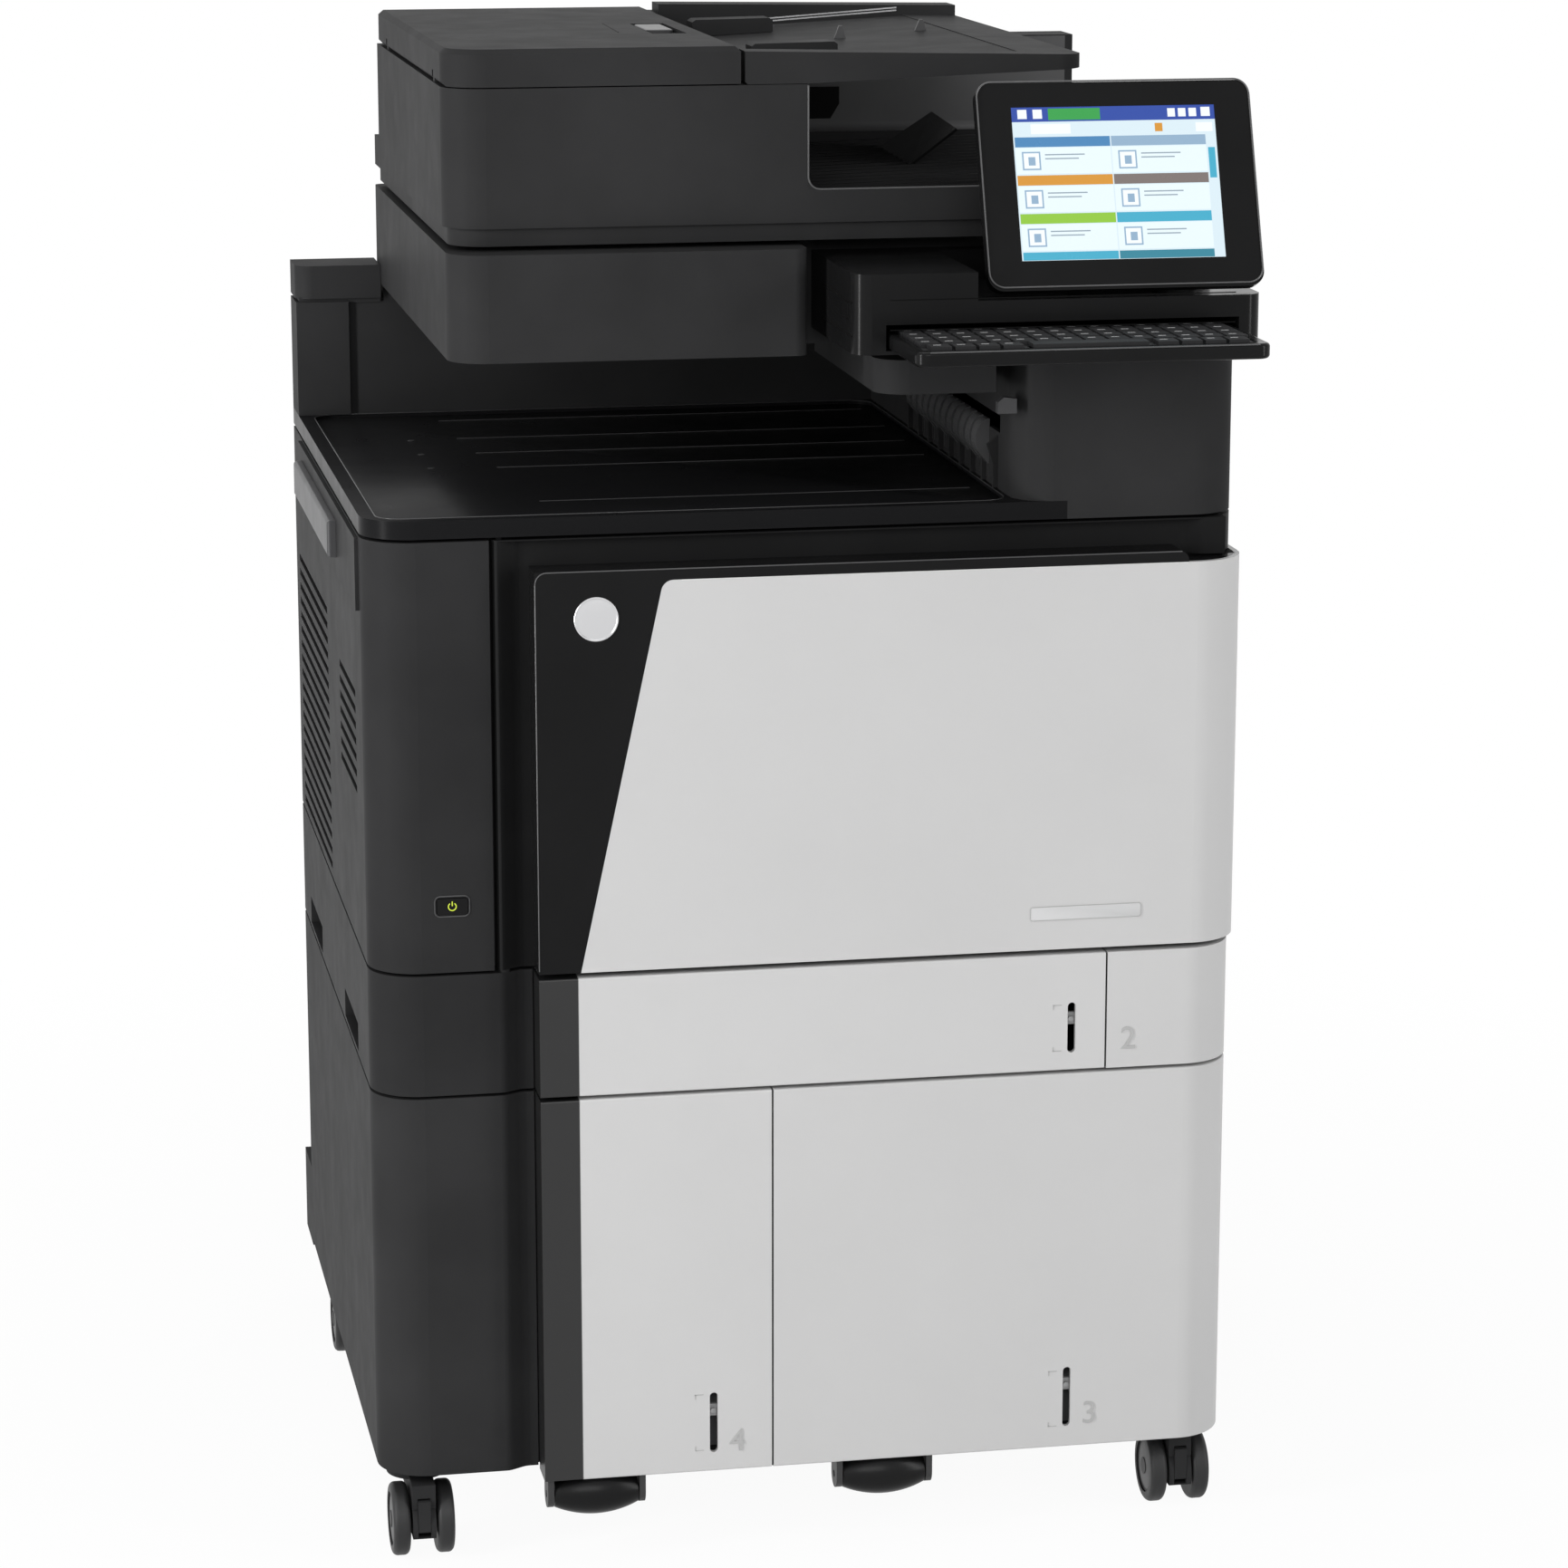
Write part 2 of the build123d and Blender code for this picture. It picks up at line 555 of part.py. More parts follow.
# ---------------------------------------------------------------- front door
door_rear = front + 12
trim_bottom = engine_bottom + 1
trim_top = engine_top - 22
strip_height = 9
strip_end = right - 48
strip_round = 8
panel_top = trim_top - strip_height
moat_top = engine_top - 8
moat_right = right - 30
diagonal_bottom = left + 161.4
diagonal_top = left + 230
panel_corner = 10
panel_skin = 4.5
band_bottom = panel_top + 1.5

with BuildPart() as door_moat:
    with BuildSketch(Plane.XY.offset(engine_bottom - 1)) as moat_plan:
        outline((moat_start - 20, front - 5), (moat_start - 20, front), (moat_start, front),
                (moat_floor_start, moat_floor), (moat_right - moat_run, moat_floor), (moat_right, front),
                (moat_right + 20, front), (moat_right + 20, front - 5))
        round_corner(moat_plan, moat_start, front, moat_round)
        round_corner(moat_plan, moat_floor_start, moat_floor, moat_round)
        round_corner(moat_plan, moat_right - moat_run, moat_floor, moat_round)
        round_corner(moat_plan, moat_right, front, moat_round)
    extrude(amount=engine_height)
    with BuildSketch(Plane.YZ.offset(moat_start - 30)) as moat_side:
        outline((front - 6, engine_bottom - 2), (moat_floor, engine_bottom - 2),
                (moat_floor, moat_top - moat_run), (front, moat_top),
                (front, moat_top + 20), (front - 6, moat_top + 20))
        round_corner(moat_side, moat_floor, moat_top - moat_run, moat_round)
        round_corner(moat_side, front, moat_top, moat_round)
    extrude(amount=cabinet_width, mode=Mode.INTERSECT)

with BuildPart() as door_frame:
    with BuildSketch(Plane.XY.offset(engine_bottom)) as frame_outline:
        outline((door_left, door_rear), (door_left, front), (step_x - 4, front), (step_x - 4, door_rear))
        round_corner(frame_outline, door_left, front, hinge_round)
        round_corner(frame_outline, door_left, door_rear, hinge_round - 1)
    extrude(amount=engine_height)
    with BuildSketch(Plane.XY.offset(band_bottom)) as band_outline:
        outline((door_left + 30, door_rear), (door_left + 30, front), (right, front), (right, wrap_end),
                (right - front_skin, wrap_end), (right - front_skin, door_rear))
        round_corner(band_outline, right, front, door_corner)
        round_corner(band_outline, right - front_skin, door_rear, door_corner - front_skin)
    extrude(amount=engine_top - band_bottom)
    add(door_moat.part, mode=Mode.SUBTRACT)
    block((strip_end - 20, right + 1), (front - 1, front + moat_depth), (engine_bottom - 1, band_bottom), Mode.SUBTRACT)
    for pin_z in (engine_bottom, engine_top):
        rod("z", (hinge_x, hinge_y, pin_z), hinge_pin + running, 2 * (pin_depth + 1), Mode.SUBTRACT)
save(door_frame.part, "door_frame")

with BuildPart() as panel_skin_solid:
    with BuildSketch(Plane.XY.offset(trim_bottom)) as skin_outer:
        front_plan(skin_outer, panel_left, right, front + moat_depth, side_proud=door_wrap)
    extrude(amount=panel_top - trim_bottom)
    with BuildSketch(Plane.XY.offset(trim_bottom - 1)) as skin_inner:
        front_plan(skin_inner, panel_left - 2 * panel_skin, right, front, inset=panel_skin, side_proud=door_wrap)
    extrude(amount=panel_top - trim_bottom + 2, mode=Mode.SUBTRACT)
    with BuildSketch(Plane.XZ.offset(-(panel_face - 5))) as slant:
        outline((panel_left - 5, trim_bottom - 5), (diagonal_bottom, trim_bottom - 5), (diagonal_top, panel_top),
                (diagonal_top, panel_top + 5), (panel_left - 5, panel_top + 5))
    extrude(amount=-80, mode=Mode.SUBTRACT)

with BuildPart() as door_panel:
    add(panel_skin_solid.part)
    slant_edges = door_panel.edges().filter_by(Axis.Y).sort_by_distance((diagonal_top, panel_face, panel_top))
    fillet(slant_edges[0], panel_corner)
save(door_panel.part, "door_panel")

with BuildPart() as door_trim:
    with BuildSketch(Plane.XY.offset(trim_bottom)) as trim_outline:
        front_plan(trim_outline, panel_left, right, front + moat_depth, side_proud=door_wrap)
    extrude(amount=trim_top - trim_bottom)
    block((right - 60, right + 10), (front + moat_depth, wrap_end + 1), (trim_bottom - 1, trim_top + 1), Mode.SUBTRACT)
    block((strip_end, right + 10), (panel_face - 1, wrap_end + 1), (panel_top, trim_top + 1), Mode.SUBTRACT)
    fillet(door_trim.edges().filter_by(Axis.Y).sort_by_distance((strip_end, panel_face, trim_top))[0], strip_round)
    with BuildSketch(Plane.XY.offset(trim_bottom + front_skin)) as trim_hollow:
        front_plan(trim_hollow, panel_left, right, front + moat_depth, inset=panel_skin + front_skin,
                   side_proud=door_wrap)
    extrude(amount=panel_top - trim_bottom - 2 * front_skin, mode=Mode.SUBTRACT)
    add(door_panel.part, mode=Mode.SUBTRACT)
save(door_trim.part, "door_trim")

# ---------------------------------------------------------------- right-hand side door and bypass tray
side_depth = 24
side_skin = 4
bypass_y = (side_y[0] + 40, side_y[1] - 60)
bypass_z = (side_z[0] + 30, side_z[0] + 235)
bypass_thickness = 7.6
bypass_round = bypass_thickness / 2
bypass_pin = 1.5
bypass_axis_x = right + door_wrap - bypass_round
bypass_axis_z = bypass_z[0] + side_gap + bypass_round

with BuildPart() as right_door:
    with BuildSketch(Plane.XY.offset(side_z[0] + side_gap)) as side_outline:
        outline((right + door_wrap - side_depth, side_y[0] + side_gap), (right + door_wrap, side_y[0] + side_gap),
                (right + door_wrap, side_y[1] - side_gap), (right + door_wrap - side_depth, side_y[1] - side_gap))
        round_corner(side_outline, right + door_wrap, side_y[1] - side_gap, side_round)
        round_corner(side_outline, right + door_wrap, side_y[0] + side_gap, 4)
        round_corner(side_outline, right + door_wrap - side_depth, side_y[1] - side_gap, 3)
    extrude(amount=side_z[1] - side_z[0] - 2 * side_gap)
    block((right + door_wrap - side_depth - 1, right + door_wrap - 12),
          (side_y[0] + side_gap + side_skin, side_y[1] - 28), (side_z[0] + 12, side_z[1] - 12), Mode.SUBTRACT)
    block((right + door_wrap - 8.2, right + door_wrap + 1), bypass_y, bypass_z, Mode.SUBTRACT)
    for z_edge in (side_z[0], side_z[1]):
        rod("z", (side_axis_x, side_axis_y, z_edge), hinge_pin + running, 2 * 12, Mode.SUBTRACT)
    rod("y", (bypass_axis_x, (bypass_y[0] + bypass_y[1]) / 2, bypass_axis_z), bypass_pin + running,
        bypass_y[1] - bypass_y[0] + 12, Mode.SUBTRACT)
save(right_door.part, "right_door")

with BuildPart() as bypass_tray:
    block((right + door_wrap - bypass_thickness, right + door_wrap), (bypass_y[0] + side_gap, bypass_y[1] - side_gap),
          (bypass_z[0] + side_gap, bypass_z[1] - side_gap))
    fillet(bypass_tray.edges().filter_by(Axis.Y).group_by(Axis.Z)[0], bypass_round - 0.01)
    block((right + door_wrap - 3, right + door_wrap + 1),
          ((bypass_y[0] + bypass_y[1]) / 2 - 45, (bypass_y[0] + bypass_y[1]) / 2 + 45),
          (bypass_z[1] - 24, bypass_z[1] - 8), Mode.SUBTRACT)
    rod("y", (bypass_axis_x, (bypass_y[0] + bypass_y[1]) / 2, bypass_axis_z), bypass_pin,
        bypass_y[1] - bypass_y[0] + 10)
save(bypass_tray.part, "bypass_tray")

# ---------------------------------------------------------------- output bin: shelf, exit tower and rear wall
tower_left = right - 183
tower_step = right - 142
tower_corner = 30
bin_rear = back - 50
shelf_rim = 12
shelf_recess = 5
shelf_rib_pitch = 13
post_width = 46
cap_width = 74.5
cap_height = 29
cap_bottom = scanner_bottom - 12
exit_slot_y = (front + 60, back - 215)
finger_pitch = 40

with BuildPart() as output_shelf:
    with BuildSketch(Plane.XY.offset(shelf_bottom)) as shelf_outline:
        outline((left, front), (tower_step, front), (tower_step, back), (left, back))
        round_corner(shelf_outline, left, front, corner_radius)
    extrude(amount=shelf_thickness)
    with BuildSketch(Plane.XY.offset(shelf_top)) as shelf_pocket:
        outline((left + shelf_rim, front + shelf_rim), (tower_left - 3, front + shelf_rim),
                (tower_left - 3, bin_rear - 3), (left + shelf_rim, bin_rear - 3))
        fillet(shelf_pocket.vertices(), 20)
    extrude(amount=-shelf_recess, mode=Mode.SUBTRACT)
    with Locations(((left + tower_left) / 2 + 5, (front + bin_rear) / 2, shelf_top - shelf_recess + 0.5)):
        with GridLocations(1, shelf_rib_pitch, 1, int((bin_rear - front - 55) / shelf_rib_pitch)):
            Box(tower_left - left - 60, 3, 2)
    rod("z", (hinge_x, hinge_y, engine_top - pin_depth / 2 + 3), hinge_pin, pin_depth + 6)
save(output_shelf.part, "output_shelf")


def tower_plan(sketch):
    """Plan of the exit tower over the shelf."""
    outline((tower_left, front), (right, front), (right, back), (tower_left, back))
    round_corner(sketch, tower_left, front, tower_corner)
    round_corner(sketch, right, front, door_corner)


def foot_plan(sketch):
    """Plan of the tower's foot beside the shelf."""
    outline((tower_step, front), (right, front), (right, back), (tower_step, back))
    round_corner(sketch, right, front, door_corner)


with BuildPart() as exit_tower:
    hollow_box(tower_plan, shelf_top, scanner_bottom, wall, wall)
    hollow_box(foot_plan, shelf_bottom, shelf_top + wall, wall, -1)
    block((tower_left - 1, tower_left + wall + 1), exit_slot_y, (shelf_top + 46, shelf_top + 60), Mode.SUBTRACT)
    for finger in range(int((exit_slot_y[1] - exit_slot_y[0]) / finger_pitch) + 1):
        finger_y = exit_slot_y[0] + 6 + finger * finger_pitch
        prism_y(((tower_left + 1, shelf_top + 44), (tower_left - 9, shelf_top + 36), (tower_left - 4, shelf_top + 20),
                 (tower_left - 4, shelf_top + 1), (tower_left + 1, shelf_top + 1)), (finger_y, finger_y + 4))
save(exit_tower.part, "exit_tower")

with BuildPart() as rear_wall:
    block((left, tower_left), (bin_rear, back), (shelf_top, cap_bottom - 3))
    block((left, left + post_width), (bin_rear - 5, back), (shelf_top, cap_bottom - 3))
    block((left + cap_width + 3, tower_left), (bin_rear, back), (cap_bottom - 4, scanner_bottom))
    block((left + 3, left + cap_width), (bin_rear - 2, back - 3), (cap_bottom - 4, cap_bottom + 1))
    with BuildSketch(Plane.XY.offset(cap_bottom)) as cap_outline:
        outline((left, bin_rear - 5), (left + cap_width, bin_rear - 5), (left + cap_width, back), (left, back))
        round_corner(cap_outline, left, bin_rear - 5, 14)
    extrude(amount=cap_height)
save(rear_wall.part, "rear_wall")

# ---------------------------------------------------------------- scanner
scanner_x = (left + 75, right - 3)
scanner_y = (front + 40, back - 15)
notch_x = right - 343
notch_y = front + 111
scanner_corner = 30
glass_x = (left + 118, right - 110)
glass_y = (front + 150, back - 135)
glass_thickness = 3
glass_ledge = 7
guide_rods = (front + 170, back - 155)
guide_radius = 4
guide_z = scanner_top - 28
carriage_x = (left + 122, left + 160)
hood_x = (right - 295, right - 201)
hood_depth = 260
hood_drop = 27
lid_axis_y = back - 9
lid_axis_z = feeder_bottom + 6
lid_knuckle = 6
lid_pin = 3
lid_hinge_x = (left + 150, right - 90)
knuckle_width = 40
ear_width = 8


def scanner_plan(sketch):
    """Plan of the scanner body with the notch for the control panel."""
    outline((scanner_x[0], scanner_y[0]), (notch_x, scanner_y[0]), (notch_x, notch_y), (scanner_x[1], notch_y),
            (scanner_x[1], scanner_y[1]), (scanner_x[0], scanner_y[1]))
    round_corner(sketch, scanner_x[0], scanner_y[0], scanner_corner)
    round_corner(sketch, notch_x, scanner_y[0], 10)
    round_corner(sketch, scanner_x[0], scanner_y[1], 8)


with BuildPart() as scanner_body:
    hollow_box(scanner_plan, scanner_bottom, scanner_top, wall, wall)
    block(glass_x, glass_y, (scanner_top - glass_thickness, scanner_top + 1), Mode.SUBTRACT)
    block((glass_x[0] + glass_ledge, glass_x[1] - glass_ledge), (glass_y[0] + glass_ledge, glass_y[1] - glass_ledge),
          (scanner_top - wall - 1, scanner_top), Mode.SUBTRACT)
    for rod_y in guide_rods:
        rod("x", ((scanner_x[0] + scanner_x[1]) / 2, rod_y, guide_z), guide_radius, scanner_x[1] - scanner_x[0] - 2)
    with BuildSketch(Plane.XY.offset(scanner_bottom - hood_drop)) as hood_outline:
        outline((hood_x[0], front), (hood_x[1], front), (hood_x[1], front + hood_depth), (hood_x[0], front + hood_depth))
        round_corner(hood_outline, hood_x[0], front, 25)
    extrude(amount=hood_drop)
    block((hood_x[0] + 2, hood_x[1] - 2), (notch_y + 1, front + hood_depth - 2), (scanner_bottom - 2, scanner_bottom + 1))
    for hinge_mid in lid_hinge_x:
        for side in (-1, 1):
            ear_x = hinge_mid + side * (knuckle_width / 2 + clearance + ear_width / 2)
            block((ear_x - ear_width / 2, ear_x + ear_width / 2), (scanner_y[1] - 2, lid_axis_y + lid_knuckle),
                  (scanner_top - 30, lid_axis_z))
            rod("x", (ear_x, lid_axis_y, lid_axis_z), lid_knuckle, ear_width)
            block((ear_x - ear_width, ear_x + ear_width), (scanner_y[1] - 12, lid_axis_y - lid_knuckle),
                  (scanner_top - 1, lid_axis_z + 10), Mode.SUBTRACT)
        rod("x", (hinge_mid, lid_axis_y, lid_axis_z), lid_pin, knuckle_width + 2 * ear_width)
save(scanner_body.part, "scanner_body")

with BuildPart() as scan_glass:
    block(glass_x, glass_y, (scanner_top - glass_thickness, scanner_top))
save(scan_glass.part, "scan_glass")

with BuildPart() as scan_carriage:
    block(carriage_x, (guide_rods[0] - 10, guide_rods[1] + 10), (guide_z - 10, guide_z + 12))
    block((carriage_x[0] + 8, carriage_x[1] - 8), (guide_rods[0] + 12, guide_rods[1] - 12), (guide_z + 8, guide_z + 13),
          Mode.SUBTRACT)
    for rod_y in guide_rods:
        rod("x", ((carriage_x[0] + carriage_x[1]) / 2, rod_y, guide_z), guide_radius + running,
            carriage_x[1] - carriage_x[0] + 2, Mode.SUBTRACT)
save(scan_carriage.part, "scan_carriage")

# ---------------------------------------------------------------- document feeder
feeder_x = (left + 75.5, right - 3)
feeder_y = (front + 62, back - 19)
feeder_corner = 32
plinth_height = 14
plinth_inset = 4
slab_top = feeder_bottom + 40
box_right = right - 339
box_rear = back - 55
box_top = feeder_bottom + 122
cover_top = box_top + 30
cover_bottom = box_top + 1
cover_right = right - 392.5
cover_rear = back - 70
cover_axis_x = left + 80
cover_axis_z = cover_bottom + 4
cover_pins = (front + 140, back - 135)
back_block_y = back - 62
pick_x = cover_right - 25.5
pick_z = box_top + 4
pick_radius = 11
pick_y = (front + 190, back - 185)
pick_shaft = 3
tray_left = right - 389
tray_right = right - 117
tray_axis_x = tray_left + 5
tray_axis_z = cover_bottom + 19
tray_ears = (front + 76, back - 72)
ear_round = 3.5
ear_half = 4


def slab_plan(sketch):
    """Plan of the feeder's lower slab."""
    outline((feeder_x[0], feeder_y[0]), (feeder_x[1], feeder_y[0]), (feeder_x[1], feeder_y[1]),
            (feeder_x[0], feeder_y[1]))
    round_corner(sketch, feeder_x[0], feeder_y[0], feeder_corner)
    round_corner(sketch, feeder_x[1], feeder_y[0], feeder_corner)


def box_plan(sketch, x_end, y_end):
    """Plan of the feeder's box or of the cover over it."""
    outline((feeder_x[0], feeder_y[0]), (x_end, feeder_y[0]), (x_end, y_end), (feeder_x[0], y_end))
    round_corner(sketch, feeder_x[0], feeder_y[0], feeder_corner)


with BuildPart() as adf_base:
    with BuildSketch(Plane.XY.offset(feeder_bottom)) as plinth_outline:
        slab_plan(plinth_outline)
        offset(amount=-plinth_inset, mode=Mode.REPLACE)
    extrude(amount=plinth_height)
    with BuildSketch(Plane.XY.offset(feeder_bottom + plinth_height)) as slab_outline:
        slab_plan(slab_outline)
    extrude(amount=slab_top - feeder_bottom - plinth_height)
    with BuildSketch(Plane.XY.offset(slab_top - 1)) as box_outline:
        box_plan(box_outline, box_right, box_rear)
    extrude(amount=box_top - slab_top + 1)
    block((box_right - 1, feeder_x[1]), (back_block_y, feeder_y[1]), (slab_top - 1, box_top))
    block((feeder_x[0] + 20, box_right), (box_rear - 1, feeder_y[1]), (slab_top - 1, slab_top + 40))
    prism_y(((box_right, slab_top - 12), (feeder_x[1] - 12, slab_top - 2), (feeder_x[1] - 12, slab_top + 5),
             (box_right, slab_top + 5)), (feeder_y[0] + 12, back_block_y - 8), Mode.SUBTRACT)
    with Locations(((box_right + feeder_x[1]) / 2, (feeder_y[0] + back_block_y) / 2, slab_top - 8)):
        with GridLocations(1, 24, 1, int((back_block_y - feeder_y[0]) / 24) - 2):
            Box(feeder_x[1] - box_right - 20, 2.5, 8, rotation=(0, -1.76, 0))
    block((feeder_x[0] + 40, box_right - 30), (feeder_y[0] + 30, box_rear - 30), (feeder_bottom + 20, box_top - 30),
          Mode.SUBTRACT)
    block((pick_x - 30, pick_x + 20), (pick_y[0] - 14, pick_y[1] + 14), (box_top - 12, box_top + 1), Mode.SUBTRACT)
    for y_end, turn in ((pick_y[0], -1), (pick_y[1], 1)):
        ear_y = sorted((y_end + turn * 1, y_end + turn * 7))
        block((pick_x - 6, pick_x + 6), ear_y, (box_top - 13, pick_z + 6))
        rod("y", (pick_x, y_end + turn * 4, pick_z), pick_shaft + running, 8, Mode.SUBTRACT)
    for ear_y in cover_pins:
        block((cover_axis_x - ear_round, cover_axis_x + ear_round), (ear_y - ear_half, ear_y + ear_half),
              (box_top - 1, cover_axis_z))
        rod("y", (cover_axis_x, ear_y, cover_axis_z), ear_round, 2 * ear_half)
        rod("y", (cover_axis_x, ear_y, cover_axis_z), hinge_pin - 0.5, 2 * ear_half + 20)
    for ear_y in tray_ears:
        block((tray_axis_x - ear_round, tray_axis_x + ear_round), (ear_y - ear_half, ear_y + ear_half),
              (box_top - 1, tray_axis_z))
        rod("y", (tray_axis_x, ear_y, tray_axis_z), ear_round, 2 * ear_half)
        rod("y", (tray_axis_x, ear_y, tray_axis_z), hinge_pin - 0.5, 2 * ear_half + 12)
    for hinge_mid in lid_hinge_x:
        block((hinge_mid - knuckle_width / 2, hinge_mid + knuckle_width / 2), (feeder_y[1] - 6, lid_axis_y),
              (lid_axis_z - lid_knuckle + 0.5, lid_axis_z + lid_knuckle))
        rod("x", (hinge_mid, lid_axis_y, lid_axis_z), lid_knuckle, knuckle_width)
        rod("x", (hinge_mid, lid_axis_y, lid_axis_z), lid_pin + running, knuckle_width + 2, Mode.SUBTRACT)
save(adf_base.part, "adf_base")

with BuildPart() as adf_backing:
    block((glass_x[0] - 6, glass_x[1] + 6), (glass_y[0] - 6, glass_y[1] + 6), (scanner_top + 0.5, feeder_bottom))
save(adf_backing.part, "adf_backing")

with BuildPart() as adf_pickup_roller:
    rod("y", (pick_x, (pick_y[0] + pick_y[1]) / 2, pick_z), pick_shaft, pick_y[1] - pick_y[0] + 12)
    for band_y in (pick_y[0] + 60, (pick_y[0] + pick_y[1]) / 2, pick_y[1] - 60):
        rod("y", (pick_x, band_y, pick_z), pick_radius, 34)
save(adf_pickup_roller.part, "adf_pickup_roller")

with BuildPart() as adf_cover:
    with BuildSketch(Plane.XY.offset(cover_bottom)) as cover_outline:
        box_plan(cover_outline, cover_right, cover_rear)
    extrude(amount=cover_top - cover_bottom)
    chamfer(adf_cover.faces().sort_by(Axis.Z)[-1].edges(), 4)
    block((feeder_x[0] + 12, cover_right - 4), (feeder_y[0] + 40, cover_rear - 8), (cover_bottom - 1, cover_top - 5),
          Mode.SUBTRACT)
    prism_y(((feeder_x[0] - 1, cover_bottom - 1), (feeder_x[0] + 4.5, cover_bottom - 1),
             (feeder_x[0] - 1, cover_bottom + 4.5)), (feeder_y[0], cover_rear), Mode.SUBTRACT)
    for ear_y in cover_pins:
        block((feeder_x[0] - 1, cover_axis_x + ear_round + 1), (ear_y - ear_half - clearance, ear_y + ear_half + clearance),
              (cover_bottom - 1, cover_axis_z + ear_round + 1), Mode.SUBTRACT)
        rod("y", (cover_axis_x, ear_y, cover_axis_z), hinge_pin - 0.5 + running, 2 * ear_half + 22, Mode.SUBTRACT)
    block((cover_right - 45.5, cover_right - 17.5), (front + 211, front + 330), (cover_top - 4, cover_top + 1), Mode.SUBTRACT)
save(adf_cover.part, "adf_cover")

tray_floor = ((tray_left - 1, cover_bottom + 8), (tray_right - 48, cover_bottom + 19.5))
tray_mouth_y = (front + 90, back - 90)
with BuildPart() as adf_input_tray:
    prism_y(((tray_left, cover_bottom + 1.5), (tray_left + 2, cover_bottom - 0.5), (box_right, cover_bottom - 0.5),
             (tray_right, cover_bottom + 8), (tray_right, cover_bottom + 19), (tray_left, cover_bottom + 25)),
            (feeder_y[0], box_rear))
    fillet(adf_input_tray.edges().filter_by(Axis.Z).sort_by_distance((tray_right, feeder_y[0], cover_top))[0], 20)
    prism_y(((tray_left + 7, cover_bottom + 20), (tray_right, cover_bottom + 16), (tray_right, cover_bottom + 28),
             (tray_left + 7, cover_bottom + 32)), (tray_mouth_y[1], box_rear))
    prism_y((*tray_floor, (tray_floor[1][0], cover_top + 20), (tray_left - 1, cover_top + 20)), tray_mouth_y, Mode.SUBTRACT)
    for ear_y in tray_ears:
        block((tray_left - 1, tray_axis_x + ear_round + 1.5), (ear_y - ear_half - clearance, ear_y + ear_half + clearance),
              (cover_bottom - 2, tray_axis_z + ear_round + 1), Mode.SUBTRACT)
        rod("y", (tray_axis_x, ear_y, tray_axis_z), hinge_pin - 0.5 + running, 2 * ear_half + 14, Mode.SUBTRACT)
save(adf_input_tray.part, "adf_input_tray")

guide_x = (tray_left + 30, tray_right - 72)
guide_slope = (tray_floor[1][1] - tray_floor[0][1]) / (tray_floor[1][0] - tray_floor[0][0])


def floor_height(x):
    """Height of the input tray's sloping floor."""
    return tray_floor[0][1] + (x - tray_floor[0][0]) * guide_slope


for end_name, guide_y, foot in (("front", front + 158, 24), ("rear", back - 154, -24)):
    with BuildPart() as adf_guide:
        low = [(x, floor_height(x) + clearance) for x in guide_x]
        prism_y((low[0], low[1], (guide_x[1], cover_top + 1), (guide_x[0], cover_top + 1)), (guide_y - 3, guide_y + 3))
        prism_y((low[0], low[1], (guide_x[1], low[1][1] + 2), (guide_x[0], low[0][1] + 2)),
                sorted((guide_y, guide_y + foot)))
    save(adf_guide.part, f"adf_guide_{end_name}")

# ---------------------------------------------------------------- control panel
base_x = (right - 327, right - 3)
base_front = front - 60
base_bottom = scanner_bottom + 13
base_step_x = right - 230
base_high = scanner_bottom + 75
base_low = scanner_bottom + 53
slot_x_limits = (right - 302, right - 22)
slot_floor = base_bottom + 3
slot_height = 20
board_x = (right - 299.3, right - 24)
board_thickness = 12
board_bottom = slot_floor + clearance
board_top = board_bottom + board_thickness
board_rear = front
key_area_x = (right - 292, right - 33)
key_area_y = (front - 150, front - 45)
key_pocket = 2
key_pitch = 18.5
key_row_pitch = 21
key_size = (15.8, 17.5)
key_rise = 2.6
space_keys = 5
display_size = (220, 165, 18)
display_tilt = 21
display_origin = (right - 109.6, front - 53.5, scanner_bottom + 59)
display_corner = 12
screen_size = (162.6, 121.9)
screen_low = 23.5
screen_aside = -1
screen_thickness = 2
tilt_axis = (22, -28)
tilt_knuckle = 7
tilt_pin = 3
tilt_width = 60

display_plane = Plane(origin=display_origin, x_dir=(1, 0, 0),
                      z_dir=Vector(0, -1, 0).rotate(Axis.X, -display_tilt))
tilt_point = display_plane.from_local_coords((0, tilt_axis[0], tilt_axis[1]))

with BuildPart() as panel_base:
    with BuildSketch(Plane.XY.offset(base_bottom)) as base_outline:
        outline((base_x[0], base_front), (base_x[1], base_front), (base_x[1], notch_y), (base_x[0], notch_y))
        round_corner(base_outline, base_x[0], base_front, 14)
        round_corner(base_outline, base_x[1], base_front, 14)
    extrude(amount=base_high - base_bottom)
    block((base_step_x, base_x[1] + 1), (base_front - 1, notch_y - 20), (base_low, base_high + 1), Mode.SUBTRACT)
    block(slot_x_limits, (base_front - 1, notch_y - wall), (slot_floor, slot_floor + slot_height), Mode.SUBTRACT)
    for side in (-1, 1):
        ear_x = tilt_point.X + side * (tilt_width / 2 + clearance + ear_width / 2)
        block((ear_x - ear_width / 2, ear_x + ear_width / 2),
              (tilt_point.Y - tilt_knuckle, tilt_point.Y + tilt_knuckle), (base_low - 2, tilt_point.Z))
        rod("x", (ear_x, tilt_point.Y, tilt_point.Z), tilt_knuckle, ear_width)
    rod("x", (tilt_point.X, tilt_point.Y, tilt_point.Z), tilt_pin, tilt_width + 2 * ear_width)
save(panel_base.part, "panel_base")

